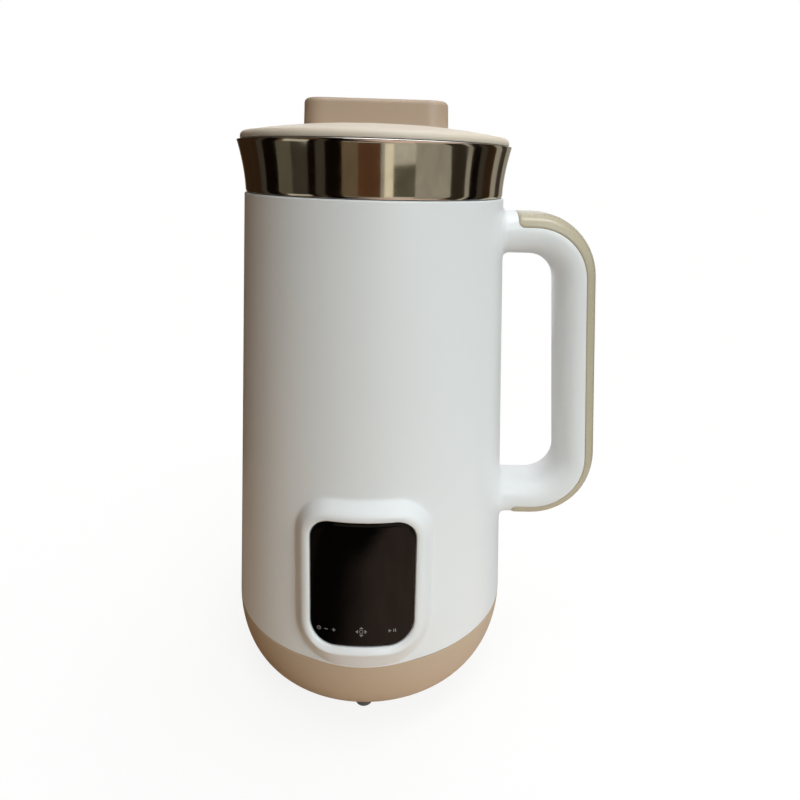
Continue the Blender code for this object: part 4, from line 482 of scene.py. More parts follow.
def placed(name, shape):
    """An object in the scene, made from a bmesh."""
    mesh = bpy.data.meshes.new(name)
    shape.to_mesh(mesh)
    shape.free()
    item = bpy.data.objects.new(name, mesh)
    bpy.context.scene.collection.objects.link(item)
    return item


def make_piece(name, shape, material, stands_for=(), body="jug"):
    """Turn a bmesh into a finished piece that rides on a body."""
    bmesh.ops.remove_doubles(shape, verts=shape.verts, dist=MERGE_DISTANCE)
    bmesh.ops.recalc_face_normals(shape, faces=shape.faces)
    piece = placed(name, shape)
    piece.data.shade_smooth()
    piece.data.set_sharp_from_angle(angle=SMOOTH_ANGLE)
    piece.data.materials.append(material)
    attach(piece, body)
    if stands_for:
        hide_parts(*stands_for)


def bridge(shape, first, second):
    """Faces between two closed rings. A ring of one vertex is a pole."""
    count = max(len(first), len(second))
    for index in range(count):
        corners = []
        for ring, place in ((first, index), (first, index + 1), (second, index + 1), (second, index)):
            vertex = ring[place % len(ring)]
            if vertex not in corners:
                corners.append(vertex)
        if len(corners) > 2:
            shape.faces.new(corners)


def add_ring(shape, points):
    return [shape.verts.new(point) for point in points]


def climb(shape, before, rings):
    """Add rings of points one after the other, each joined to the one before; gives the last."""
    for points in rings:
        ring = add_ring(shape, points)
        bridge(shape, before, ring)
        before = ring
    return before


def skin(rings, loop=False):
    """Skin rings of points that have equal counts, with a cap at each end or closed to a loop."""
    shape = bmesh.new()
    first = add_ring(shape, rings[0])
    last = climb(shape, first, rings[1:])
    if loop:
        bridge(shape, last, first)
    else:
        shape.faces.new(first)
        shape.faces.new(last)
    return shape


def prism(outline, low, high):
    """An upright bar over an outline of (x, y)."""
    return skin([[Vector((x, y, z)) for x, y in outline] for z in (low, high)])


def around(radius, height, sides):
    if radius == 0:
        return [Vector((0, 0, height))]
    return [polar(radius, math.tau * step / sides, height) for step in range(sides)]


def lathe(profile, sides):
    """Turn a closed profile of (radius, height) about Z."""
    return skin([around(radius, height, sides) for radius, height in profile], loop=True)


def moved(shape, matrix):
    bmesh.ops.transform(shape, matrix=matrix, verts=shape.verts)
    return shape


def set_at(shape, x, y, z=0.0):
    return moved(shape, Matrix.Translation((x, y, z)))


def joined(shapes):
    whole = bmesh.new()
    for shape in shapes:
        mesh = bpy.data.meshes.new("join")
        shape.to_mesh(mesh)
        shape.free()
        whole.from_mesh(mesh)
        bpy.data.meshes.remove(mesh)
    return whole


def cut(shape, tool):
    """Take one bmesh out of another with an exact Boolean and give the result as a bmesh."""
    pair = []
    for name, source in (("cut_body", shape), ("cut_tool", tool)):
        bmesh.ops.recalc_face_normals(source, faces=source.faces)
        pair.append(placed(name, source))
    step = pair[0].modifiers.new("cut", "BOOLEAN")
    step.operation = "DIFFERENCE"
    step.solver = "EXACT"
    step.object = pair[1]
    graph = bpy.context.evaluated_depsgraph_get()
    result = bmesh.new()
    result.from_mesh(pair[0].evaluated_get(graph).to_mesh())
    for item in pair:
        mesh = item.data
        bpy.data.objects.remove(item)
        bpy.data.meshes.remove(mesh)
    return result


# Shader node groups

def new_group(name, inputs, *outputs):
    """A node group: its tree, what its inputs give and what its outputs take."""
    tree = bpy.data.node_groups.new(name, "ShaderNodeTree")
    for label, value in inputs.items():
        kind = "NodeSocketColor" if isinstance(value, tuple) else "NodeSocketFloat"
        tree.interface.new_socket(label, in_out="INPUT", socket_type=kind).default_value = value
    for label in outputs:
        kind = "NodeSocketColor" if label == "Colour" else "NodeSocketFloat"
        tree.interface.new_socket(label, in_out="OUTPUT", socket_type=kind)
    return tree, tree.nodes.new("NodeGroupInput").outputs, tree.nodes.new("NodeGroupOutput").inputs


def node(tree, kind, sockets=None, **settings):
    """A shader node with its settings; its inputs are linked to a socket or given a value."""
    made = tree.nodes.new(kind)
    for key, value in settings.items():
        setattr(made, key, value)
    for label, value in (sockets or {}).items():
        if isinstance(value, bpy.types.NodeSocket):
            tree.links.new(value, made.inputs[label])
        else:
            made.inputs[label].default_value = value
    return made


def wire(tree, *pairs):
    for source, target in pairs:
        tree.links.new(source, target)


def maths(tree, operation, first, second, clamp=False):
    """A Math node of two values or sockets; gives its output."""
    made = node(tree, "ShaderNodeMath", {0: first, 1: second}, operation=operation, use_clamp=clamp)
    return made.outputs[0]


def above(tree, value, floor, gain):
    """A share that starts to rise from 0 where a value passes a floor."""
    return maths(tree, "MULTIPLY", maths(tree, "SUBTRACT", value, floor), gain, clamp=True)


def soft_step(tree, value, start, end, low=0.0, high=1.0):
    """A low value up to a start and a high one beyond an end, with a soft step between them."""
    sockets = {"Value": value, "From Min": start, "From Max": end, "To Min": low, "To Max": high}
    made = node(tree, "ShaderNodeMapRange", sockets, interpolation_type="SMOOTHSTEP")
    return made.outputs["Result"]


def own_place(tree):
    """Places in metres, in the piece's own frame."""
    return node(tree, "ShaderNodeTexCoord").outputs["Object"]


def parts_of(tree, vector):
    return node(tree, "ShaderNodeSeparateXYZ", {0: vector}).outputs


def stretched(tree, place, turn, scale):
    sockets = {"Vector": place, "Rotation": turn, "Scale": scale}
    return node(tree, "ShaderNodeMapping", sockets).outputs["Vector"]


def noise(tree, place, scale, detail, rough=0.5):
    sockets = {"Vector": place, "Scale": scale, "Detail": detail, "Roughness": rough}
    return node(tree, "ShaderNodeTexNoise", sockets).outputs["Fac"]


def mixed(tree, share, first, second):
    """A blend of two colours. A Mix node takes its colours in inputs 6 and 7."""
    return node(tree, "ShaderNodeMix", {0: share, 6: first, 7: second}, data_type="RGBA").outputs[2]


def moulded_grain():
    """Fine spark-eroded grain on a slightly wavy moulded surface."""
    tree, given, result = new_group("moulded grain", {"Grain Scale": 2600.0, "Wave Share": 0.3},
                                    "Height", "Speckle")
    place = own_place(tree)
    fine = noise(tree, place, given["Grain Scale"], detail=2.0)
    wave = noise(tree, place, scale=90.0, detail=2.0)
    share = maths(tree, "MULTIPLY", wave, given["Wave Share"])
    wire(tree, (maths(tree, "ADD", fine, share), result["Height"]), (fine, result["Speckle"]))
    return tree


def tone_drift():
    """A colour that drifts a little towards a second one over the piece."""
    inputs = {"Colour": (0.8, 0.8, 0.8, 1), "Drift": (0.7, 0.7, 0.7, 1), "Amount": 0.5, "Scale": 14.0}
    tree, given, result = new_group("tone drift", inputs, "Colour")
    cloud = noise(tree, own_place(tree), given["Scale"], detail=4.0, rough=0.6)
    spread = above(tree, cloud, floor=0.35, gain=2.2)
    share = maths(tree, "MULTIPLY", spread, given["Amount"], clamp=True)
    wire(tree, (mixed(tree, share, given["Colour"], given["Drift"]), result["Colour"]))
    return tree


def rubbed_edges():
    """A mask that is high where edges stand out and get rubbed."""
    tree, given, result = new_group("rubbed edges", {"Amount": 0.4}, "Mask")
    shape = node(tree, "ShaderNodeNewGeometry").outputs["Pointiness"]
    edge = above(tree, shape, floor=0.53, gain=14.0)
    patchy = maths(tree, "MULTIPLY", edge, noise(tree, own_place(tree), scale=420.0, detail=3.0))
    wire(tree, (maths(tree, "MULTIPLY", patchy, given["Amount"], clamp=True), result["Mask"]))
    return tree


def settled_dust():
    """A mask of specks on faces that look up."""
    tree, given, result = new_group("settled dust", {"Amount": 0.2}, "Mask")
    normal = node(tree, "ShaderNodeNewGeometry").outputs["Normal"]
    upward = above(tree, parts_of(tree, normal)["Z"], floor=0.5, gain=2.0)
    specks = noise(tree, own_place(tree), scale=900.0, detail=2.0, rough=0.7)
    both = maths(tree, "MULTIPLY", upward, above(tree, specks, floor=0.58, gain=9.0))
    wire(tree, (maths(tree, "MULTIPLY", both, given["Amount"]), result["Mask"]))
    return tree


def finger_smears():
    """Faint stretched smears, as left by handling."""
    tree, given, result = new_group("finger smears", {"Scale": 60.0, "Amount": 0.1}, "Mask")
    place = stretched(tree, own_place(tree), turn=(0.3, 0.5, 0.7), scale=(1.0, 1.0, 3.2))
    blot = noise(tree, place, given["Scale"], detail=5.0, rough=0.65)
    soft = above(tree, blot, floor=0.48, gain=4.0)
    wire(tree, (maths(tree, "MULTIPLY", soft, given["Amount"]), result["Mask"]))
    return tree


def spun_lines():
    """Hair lines that run round the axis, as left by spinning and polishing."""
    tree, given, result = new_group("spun lines", {"Scale": 900.0}, "Height")
    parts = parts_of(tree, own_place(tree))
    squares = [maths(tree, "MULTIPLY", parts[axis], parts[axis]) for axis in ("X", "Y")]
    reach = maths(tree, "SQRT", maths(tree, "ADD", *squares), 0.0)
    section = node(tree, "ShaderNodeCombineXYZ", {"X": reach, "Z": parts["Z"]}).outputs[0]
    wire(tree, (noise(tree, section, given["Scale"], detail=4.0, rough=0.7), result["Height"]))
    return tree


def brushed_lines():
    """Straight hair lines along one direction of a piece."""
    tree, given, result = new_group("brushed lines", {"Scale": 700.0}, "Height")
    place = stretched(tree, own_place(tree), turn=(0, 0, 0), scale=(1.0, 0.04, 1.0))
    wire(tree, (noise(tree, place, given["Scale"], detail=4.0, rough=0.7), result["Height"]))
    return tree


GRAIN = moulded_grain()
DRIFT = tone_drift()
EDGES = rubbed_edges()
DUST = settled_dust()
SMEARS = finger_smears()
SPUN = spun_lines()
BRUSHED = brushed_lines()


# Materials

PALE_DUST = (0.62, 0.60, 0.56, 1)
GREY_DUST = (0.5, 0.48, 0.45, 1)
BAR_COUNT = 16


def labelled(values):
    """Values by the labels of sockets, from their names in a call."""
    return {name.replace("_", " "): value for name, value in values.items()}


def placed_group(tree, group, **values):
    return node(tree, "ShaderNodeGroup", labelled(values), node_tree=group).outputs


def drifting(tree, colour, drift, amount, scale=14.0):
    """A colour that drifts towards a second one."""
    return placed_group(tree, DRIFT, Colour=(*colour, 1), Drift=(*drift, 1), Amount=amount, Scale=scale)[0]


def blank_material(name, **constants):
    material = bpy.data.materials.new(name)
    material.use_nodes = True
    tree = material.node_tree
    shader = tree.nodes["Principled BSDF"]
    for label, value in labelled(constants).items():
        shader.inputs[label].default_value = value
    return material, tree, shader


def set_bump(tree, shader, height, strength, distance):
    bump = node(tree, "ShaderNodeBump", {"Height": height, "Strength": strength, "Distance": distance})
    wire(tree, (bump.outputs["Normal"], shader.inputs["Normal"]))


def rough_between(tree, shader, value, low, high):
    spread = maths(tree, "MULTIPLY", value, high - low)
    wire(tree, (maths(tree, "ADD", spread, low, clamp=True), shader.inputs["Roughness"]))


def moulded_plastic(name, colour, drift, rubbed, rough, grain_scale, depth, coat=0.0):
    """Satin moulded plastic: grain, slow drift of tone, paler rubbed edges and a little dust."""
    material, tree, shader = blank_material(name, Coat_Weight=coat, Coat_Roughness=0.22)
    grain = placed_group(tree, GRAIN, Grain_Scale=grain_scale)
    edge = placed_group(tree, EDGES, Amount=0.3)[0]
    worn = mixed(tree, edge, drifting(tree, colour, drift, amount=0.6), (*rubbed, 1))
    dust = placed_group(tree, DUST, Amount=0.10)[0]
    wire(tree, (mixed(tree, dust, worn, PALE_DUST), shader.inputs["Base Color"]))
    uneven = maths(tree, "ADD", grain["Speckle"], dust)
    rough_between(tree, shader, uneven, low=rough - 0.05, high=rough + 0.09)
    set_bump(tree, shader, grain["Height"], strength=0.35, distance=depth)
    return material


def metal(name, colour, drift, rough, lines, line_scale, depth, smear=0.12, streak=0.12):
    """Metal with hair lines and handling marks."""
    material, tree, shader = blank_material(name, Metallic=1.0)
    wire(tree, (drifting(tree, colour, drift, amount=0.5, scale=30.0), shader.inputs["Base Color"]))
    height = placed_group(tree, lines, Scale=line_scale)[0]
    marks = placed_group(tree, SMEARS, Amount=smear)[0]
    uneven = maths(tree, "ADD", maths(tree, "MULTIPLY", height, streak), marks)
    rough_between(tree, shader, uneven, low=rough, high=rough + 1.0)
    set_bump(tree, shader, height, strength=0.25, distance=depth)
    return material


def rubber(name, colour, drift, rough):
    """Soft rubber or silicone: matt, slightly mottled, with a bloom of dust."""
    material, tree, shader = blank_material(name, Sheen_Weight=0.15, Sheen_Roughness=0.5)
    grain = placed_group(tree, GRAIN, Grain_Scale=1500.0, Wave_Share=0.6)
    dust = placed_group(tree, DUST, Amount=0.25)[0]
    base = drifting(tree, colour, drift, amount=0.7, scale=45.0)
    wire(tree, (mixed(tree, dust, base, GREY_DUST), shader.inputs["Base Color"]))
    rough_between(tree, shader, grain["Speckle"], low=rough - 0.08, high=rough + 0.12)
    set_bump(tree, shader, grain["Height"], strength=0.5, distance=0.00008)
    return material


def panel_glass():
    """Black glass over a dark display, with faint smears."""
    material, tree, shader = blank_material("panel_glass", IOR=1.45, Specular_IOR_Level=0.25,
                                            Coat_Weight=0.2, Coat_Roughness=0.02)
    base = drifting(tree, (0.0015, 0.0013, 0.0012), (0.0034, 0.0026, 0.0022), amount=0.8, scale=26.0)
    wire(tree, (base, shader.inputs["Base Color"]))
    marks = placed_group(tree, SMEARS, Amount=0.10, Scale=120.0)[0]
    rough_between(tree, shader, marks, low=0.06, high=1.0)
    grain = placed_group(tree, GRAIN, Grain_Scale=300.0)
    set_bump(tree, shader, grain["Height"], strength=0.04, distance=0.00005)
    return material


def circuit_board():
    """Green solder mask with paler tracks."""
    material, tree, shader = blank_material("circuit_board", Coat_Weight=0.3, Coat_Roughness=0.2)
    upright = stretched(tree, own_place(tree), turn=(math.pi / 2, 0, 0), scale=(1, 1, 1))
    tracks = node(tree, "ShaderNodeTexBrick", {
        "Vector": upright, "Scale": 260.0, "Mortar Size": 0.03,
        "Color1": (0.01, 0.10, 0.04, 1), "Color2": (0.012, 0.13, 0.05, 1), "Mortar": (0.03, 0.24, 0.09, 1),
    })
    wire(tree, (tracks.outputs["Color"], shader.inputs["Base Color"]))
    grain = placed_group(tree, GRAIN, Grain_Scale=1800.0)
    rough_between(tree, shader, grain["Speckle"], low=0.3, high=0.5)
    set_bump(tree, shader, tracks.outputs["Fac"], strength=0.3, distance=0.00005)
    return material


def copper_bars():
    """Copper commutator bars, split by dark insulation."""
    material, tree, shader = blank_material("copper_bars", Metallic=1.0)
    parts = parts_of(tree, own_place(tree))
    turn = maths(tree, "ARCTAN2", parts["Y"], parts["X"])
    bars = maths(tree, "PINGPONG", maths(tree, "MULTIPLY", turn, BAR_COUNT / math.tau), 0.5)
    gap = maths(tree, "LESS_THAN", bars, 0.06)
    tone = mixed(tree, gap, (0.62, 0.30, 0.17, 1), (0.02, 0.015, 0.012, 1))
    wire(tree, (tone, shader.inputs["Base Color"]))
    height = placed_group(tree, SPUN, Scale=1400.0)[0]
    rough_between(tree, shader, height, low=0.2, high=0.45)
    set_bump(tree, shader, height, strength=0.3, distance=0.00003)
    return material


def printed_marks():
    """Pale ink of the touch marks."""
    material, tree, shader = blank_material("printed_marks")
    ink = drifting(tree, (0.26, 0.25, 0.24), (0.18, 0.17, 0.17), amount=0.8, scale=900.0)
    wire(tree, (ink, shader.inputs["Base Color"]))
    grain = placed_group(tree, GRAIN, Grain_Scale=5200.0)
    rough_between(tree, shader, grain["Speckle"], low=0.4, high=0.65)
    set_bump(tree, shader, grain["Height"], strength=0.2, distance=0.00002)
    return material


WHITE = moulded_plastic(
    "white_satin_plastic", (0.800, 0.805, 0.810), (0.775, 0.780, 0.782), rubbed=(0.86, 0.86, 0.85),
    rough=0.34, grain_scale=2600.0, depth=0.00004, coat=0.12)
TAN = moulded_plastic(
    "tan_matt_plastic", (0.550, 0.415, 0.297), (0.520, 0.390, 0.277), rubbed=(0.58, 0.45, 0.33),
    rough=0.50, grain_scale=2300.0, depth=0.00006)
LID_BEIGE = moulded_plastic(
    "lid_beige_plastic", (0.700, 0.605, 0.495), (0.670, 0.575, 0.467), rubbed=(0.72, 0.65, 0.56),
    rough=0.44, grain_scale=2300.0, depth=0.00005)
KNOB_BEIGE = moulded_plastic(
    "knob_beige_plastic", (0.455, 0.337, 0.245), (0.430, 0.317, 0.230), rubbed=(0.52, 0.41, 0.31),
    rough=0.38, grain_scale=2300.0, depth=0.00005)
KHAKI = moulded_plastic(
    "khaki_grip_plastic", (0.500, 0.440, 0.320), (0.470, 0.412, 0.298), rubbed=(0.58, 0.50, 0.37),
    rough=0.24, grain_scale=1900.0, depth=0.00003, coat=0.3)
LINER_WHITE = moulded_plastic(
    "liner_white_plastic", (0.74, 0.74, 0.72), (0.71, 0.71, 0.68), rubbed=(0.80, 0.80, 0.78),
    rough=0.42, grain_scale=2000.0, depth=0.00004)
BLACK = moulded_plastic(
    "black_plastic", (0.022, 0.022, 0.023), (0.030, 0.030, 0.030), rubbed=(0.09, 0.09, 0.09),
    rough=0.45, grain_scale=2100.0, depth=0.00006)
MIRROR_STEEL = metal("mirror_steel", (0.78, 0.765, 0.74), (0.74, 0.725, 0.70), rough=0.066,
                     lines=SPUN, line_scale=1500.0, depth=0.000004, smear=0.05, streak=0.025)
SATIN_STEEL = metal("satin_steel", (0.62, 0.615, 0.60), (0.56, 0.555, 0.545), rough=0.20,
                    lines=BRUSHED, line_scale=900.0, depth=0.00002)
SCREW_STEEL = metal("screw_steel", (0.52, 0.52, 0.53), (0.44, 0.44, 0.45), rough=0.24,
                    lines=SPUN, line_scale=2600.0, depth=0.00002)
ALUMINIUM = metal("cast_aluminium", (0.66, 0.66, 0.67), (0.60, 0.60, 0.61), rough=0.32,
                  lines=BRUSHED, line_scale=1200.0, depth=0.00004)
BRONZE = metal("sintered_bronze", (0.50, 0.33, 0.16), (0.42, 0.27, 0.13), rough=0.34,
               lines=SPUN, line_scale=1900.0, depth=0.00003)
PIN_BRASS = metal("plated_brass", (0.66, 0.60, 0.47), (0.60, 0.53, 0.40), rough=0.20,
                  lines=BRUSHED, line_scale=1500.0, depth=0.00002)
FERRITE = rubber("pressed_ferrite", (0.045, 0.045, 0.050), (0.065, 0.063, 0.066), rough=0.62)
SILICONE = rubber("clear_silicone", (0.62, 0.62, 0.60), (0.56, 0.56, 0.54), rough=0.50)
GREY_RUBBER = rubber("grey_rubber", (0.10, 0.098, 0.096), (0.13, 0.127, 0.122), rough=0.74)
GLASS = panel_glass()
BOARD = circuit_board()
COPPER = copper_bars()
MARKS = printed_marks()


# Shell, housing and handle in one moulding

def banded(start, bands):
    """Places from a start through each band, which gives its end and its count of steps."""
    places = [start]
    for end, count in bands:
        low = places[-1]
        places += [low + (end - low) * step / count for step in range(1, count + 1)]
    return places


def nearest(values, goal):
    return min(range(len(values)), key=lambda index: abs(values[index] - goal))


def patch_cells(patch, angles, heights):
    """First and last column and row of a patch."""
    start, end, low, high = patch
    return nearest(angles, start), nearest(angles, end), nearest(heights, low), nearest(heights, high)


def on_ring(angle, radius, height):
    """A point of the moulding: angles are counted in degrees from -X, through -Y."""
    return polar(radius, math.pi + math.radians(angle), height)


def ledge(across, height):
    """How far the housing's foot stands out over the base at a point."""
    wide = max(1 - (across / LEDGE_HALF) ** 2, 0) ** LEDGE_POWER
    return LEDGE_OUT * wide * eased((LEDGE_HIGH - height) / (LEDGE_HIGH - FOOT_LOW))


def on_panel(across, height, rise):
    """A point over the wall on the panel's side, across being measured round the wall."""
    radius = wall_radius(height)
    return polar(radius + rise + ledge(across, height), across / radius - math.pi / 2, height)


def across_panel(point):
    """How far a point lies from the panel's middle, measured round the wall."""
    return (math.atan2(point.y, point.x) + math.pi / 2) * point.xy.length


def edge_loop(grid, cells, upside_down=False):
    """Vertices round a patch, and the count on each of its four sides."""
    left, right, low, high = cells
    if upside_down:
        low, high = high, low
    rise = 1 if high > low else -1
    loop = [grid[low][column] for column in range(left, right)]
    loop += [grid[row][right] for row in range(low, high, rise)]
    loop += [grid[high][column] for column in range(right, left, -1)]
    loop += [grid[row][left] for row in range(high, low, -rise)]
    wide, tall = right - left, abs(high - low)
    return loop, (wide, tall, wide, tall)


def ramp(share, crispness):
    """A straight slope whose two ends are rounded, the less so the crisper it is."""
    foot, crest = FOOT_ROUND_SHARE * (1 - crispness), CREST_ROUND_SHARE * (1 - crispness)
    level = 1 - (foot + crest) / 2
    if share < foot:
        return share * share / (2 * foot * level)
    if share > 1 - crest:
        return 1 - (1 - share) ** 2 / (2 * crest * level)
    return (share - foot / 2) / level


def glass_outline(grow, low, high, counts):
    """The glass's outline with its sides and corners grown outwards, from a low to a high edge."""
    corners = GLASS_LOW_CORNER + grow, GLASS_HIGH_CORNER + grow
    return quartered(rounded_box(GLASS_HALF + grow, low, high, *corners), counts)


def lip_outline(grow, counts):
    """The glass's outline grown outwards, most of all below it."""
    low = max(GLASS_LOW - grow * LOW_LIP_WIDENING, FOOT_LOW)
    return glass_outline(grow, low, GLASS_HIGH + grow, counts)


def shrunk(outline, share):
    """An outline drawn in towards the middle of the glass."""
    middle = Vector((0, (GLASS_LOW + GLASS_HIGH) / 2))
    return [middle.lerp(point, share) for point in outline]


def under_glass(height):
    """Share from 0 to 1 by which a point of the lip belongs to its lower side."""
    return eased((LOW_LIP_FROM - height) / (LOW_LIP_FROM - GLASS_LOW))


def low_lip_drop(share):
    """How far the lip below the glass has fallen at a share of its width: a slope with a round edge."""
    edge = 1 - math.sqrt(1 - share ** LOW_LIP_EDGE_POWER)
    return LOW_LIP_DROP * (LOW_LIP_SLOPE * share ** LOW_LIP_POWER + (1 - LOW_LIP_SLOPE) * edge)


def housing_rings(counts):
    """Rings of (across, height, rise) from the housing's foot over its lip to the pocket's floor."""
    foot = glass_outline(LIP_WIDTH + SIDE_SLOPE, FOOT_LOW, GLASS_HIGH + LIP_WIDTH + TOP_SLOPE, counts)
    lip = lip_outline(LIP_WIDTH, counts)
    pocket = lip_outline(POCKET_GAP, counts)
    low_shares = [under_glass(point.y) for point in pocket]
    crests = [HOUSING_RISE + LOW_LIP_RISE * low for low in low_shares]
    rings = []
    for share in steps_to(1.0, SLOPE_STEPS):
        rings.append([
            (*a.lerp(b, share), crest * ramp(share, LOW_LIP_CRISPNESS * low))
            for a, b, crest, low in zip(foot, lip, crests, low_shares)
        ])
    for step, angle in enumerate(steps_to(math.pi / 2, LIP_STEPS)):
        share = (step + 0.5) / (LIP_STEPS + 0.5)
        rounded = lip_outline(POCKET_GAP + LIP_ROUND * (1 - math.sin(angle)), counts)
        sloping = lip_outline(POCKET_GAP + (LIP_WIDTH - POCKET_GAP) * (1 - share), counts)
        round_drop, sloping_drop = LIP_DROP * (1 - math.cos(angle)), low_lip_drop(share)
        rings.append([
            (*a.lerp(b, low), crest - round_drop * (1 - low) - sloping_drop * low)
            for a, b, crest, low in zip(rounded, sloping, crests, low_shares)
        ])
    for share in (1, *POCKET_SHARES):
        rings.append([(*point, GLASS_BACK - POCKET_GAP) for point in shrunk(pocket, share)])
    return rings


def grow_panel(shape, loop, counts):
    rings = housing_rings(counts)
    start = []
    for vertex in loop:
        across, height = across_panel(vertex.co), vertex.co.z
        start.append(Vector((across, height)))
        if height < FOOT_LOW:
            vertex.co = on_panel(across, height, 0.0)
    foot = [Vector(point[:2]) for point in rings[0]]
    patch = [[on_panel(*a.lerp(b, share), 0.0) for a, b in zip(start, foot)] for share in PATCH_SHARES]
    housing = [[on_panel(*point) for point in ring] for ring in rings]
    shape.faces.new(climb(shape, loop, patch + housing))


def centre_line():
    """Corners and directions of the handle's centre line."""
    top = Vector((wall_radius(ARM_TOP) + REACH_TOP, 0, ARM_TOP))
    low = Vector((wall_radius(ARM_LOW) + REACH_LOW, 0, ARM_LOW))
    return top, low, (low - top).normalized()


def bend_stations(corner, before, after):
    turn = before.angle(after)
    reach = BEND_RADIUS * math.tan(turn / 2)
    outward = Vector((-before.z, 0, before.x))
    if outward.dot(after) > 0:
        outward = -outward
    centre = corner - before * reach - outward * BEND_RADIUS
    normals = [outward * math.cos(a) + before * math.sin(a) for a in steps_to(turn, BEND_STEPS)]
    return [(centre + normal * BEND_RADIUS, normal) for normal in normals]


def spaced(start, end, count):
    """Stations between two others, neither included."""
    return [
        (start[0].lerp(end[0], step / count), start[1].lerp(end[1], step / count))
        for step in range(1, count)
    ]


def handle_stations(top_gap, low_gap):
    """Places along the handle with their outward sides, from one arm to the other, off the wall."""
    top, low, bar = centre_line()
    upper = bend_stations(top, RIGHT, bar)
    lower = bend_stations(low, bar, -RIGHT)
    start = (Vector((wall_radius(ARM_TOP) + top_gap, 0, ARM_TOP)), UP)
    end = (Vector((wall_radius(ARM_LOW) + low_gap, 0, ARM_LOW)), -UP)
    return [
        start, *spaced(start, upper[0], ARM_STATIONS), *upper,
        *spaced(upper[-1], lower[0], GRIP_STATIONS), *lower,
        *spaced(lower[-1], end, ARM_STATIONS), end,
    ]


def arm_root(shape, loop, section, level, side):
    """Rings from a patch of the wall up through an arm's fillet. Side is +1 where outward is up."""
    def over_wall(across, height, away):
        return Vector((math.sqrt(wall_radius(height) ** 2 - across ** 2) + away, across, height))

    fillet = []
    for angle in steps_to(math.pi / 2, FILLET_STEPS):
        grow = ARM_FILLET * (1 - math.sin(angle))
        away = ARM_FILLET * (1 - math.cos(angle))
        spread = [point * (1 + grow / point.length) for point in section]
        fillet.append([over_wall(point.x, level + side * point.y, away) for point in spread])
    patch = [
        [over_wall(*vertex.co.yz.lerp(foot.yz, share), 0.0) for vertex, foot in zip(loop, fillet[0])]
        for share in PATCH_SHARES
    ]
    return climb(shape, loop, patch + fillet)


def inner_share(place, outward):
    """How much thicker than half the handle its inside is at a station, near the opening's round corners."""
    top, low, bar = centre_line()
    half = HANDLE_THICKNESS / 2
    for corner, before, after in ((top, RIGHT, bar), (low, bar, -RIGHT)):
        inward = (after - before).normalized()
        half_turn = before.angle(after) / 2
        centre = corner + inward * (half + INNER_RADIUS) / math.cos(half_turn)
        away = place - centre
        along = away.dot(outward)
        reach = along * along - away.length_squared + INNER_RADIUS ** 2
        if reach <= 0 or along < 0:
            continue
        depth = along - math.sqrt(reach)
        spoke = place - outward * depth - centre
        if spoke.dot(before) >= 0 and spoke.dot(after) <= 0:
            return max(depth / half, 1.0)
    return 1.0


def outer_half():
    """The handle's outer half oval as (across, out) points, from the front round the crown to the back."""
    points = []
    for angle in steps_to(math.pi, CROWN_STEPS):
        across = HANDLE_DEPTH / 2 * squared(-math.cos(angle), HANDLE_POWER)
        points.append(Vector((across, HANDLE_THICKNESS / 2 * squared(math.sin(angle), HANDLE_POWER))))
    return resampled(points, CROWN_STEPS)


# The crown's middle and pace turn a distance round it into a place on it
CROWN = outer_half()
CROWN_MIDDLE = len(CROWN) // 2
CROWN_PACE = (CROWN[CROWN_MIDDLE + 1] - CROWN[CROWN_MIDDLE]).length
GRIP_HALF = CROWN_PACE * sum(1 for point in CROWN[CROWN_MIDDLE:] if point.y > GRIP_SIDE_OUT)


def over_crown(place, outward, distance, lift):
    """A point at a distance round the handle's crown, lifted off its surface."""
    index = CROWN_MIDDLE + distance / CROWN_PACE
    low = max(min(int(index), len(CROWN) - 2), 1)
    point = CROWN[low].lerp(CROWN[low + 1], index - low)
    along = (CROWN[low + 1] - CROWN[low - 1]).normalized()
    point = point + Vector((-along.y, along.x)) * lift
    return place + outward * point.y + Vector((0, point.x, 0))


def end_narrowing(distance):
    """How far the strip's rounded corners draw its side in, near one of its ends."""
    if distance >= GRIP_CORNER:
        return 0.0
    return GRIP_CORNER - math.sqrt(GRIP_CORNER ** 2 - (GRIP_CORNER - distance) ** 2)


def grip_stations(inset):
    """Stations along the strip, closer together at its rounded ends, and the distance of each from an end."""
    stations = handle_stations(GRIP_START_TOP + inset, GRIP_START_LOW + inset)
    first, last = stations[0], stations[-1]

    def near_end(end, inward):
        reach = (inward[0] - end[0]).normalized() * GRIP_CORNER
        return [(end[0] + reach * share, end[1]) for share in GRIP_END_SHARES]

    inner = [s for s in stations[1:-1]
             if min((s[0] - first[0]).length, (s[0] - last[0]).length) > GRIP_END_CLEAR]
    line = [first, *near_end(first, stations[1]), *inner, *near_end(last, stations[-2])[::-1], last]
    lengths = lengths_along([station[0] for station in line])
    return [(*station, min(length, lengths[-1] - length)) for station, length in zip(line, lengths)]


def frame_ring(section, place, outward, from_end, depth):
    """A section of the handle, with the strip's rebate cut into its crown."""
    inside = inner_share(place, outward)
    ring = [place + outward * p.y * (inside if p.y < 0 else 1.0) + Vector((0, p.x, 0)) for p in section]
    crown = [index for index, p in enumerate(section) if p.y > GRIP_SIDE_OUT]
    half = GRIP_HALF - end_narrowing(from_end)
    first, last = crown[0], crown[-1]
    ring[first] = over_crown(place, outward, half, 0.0)
    ring[last] = over_crown(place, outward, -half, 0.0)
    floor = half - REBATE_DRAFT
    steps = last - first - 2
    for step in range(steps + 1):
        ring[first + 1 + step] = over_crown(place, outward, floor * (1 - 2 * step / steps), -depth)
    return ring


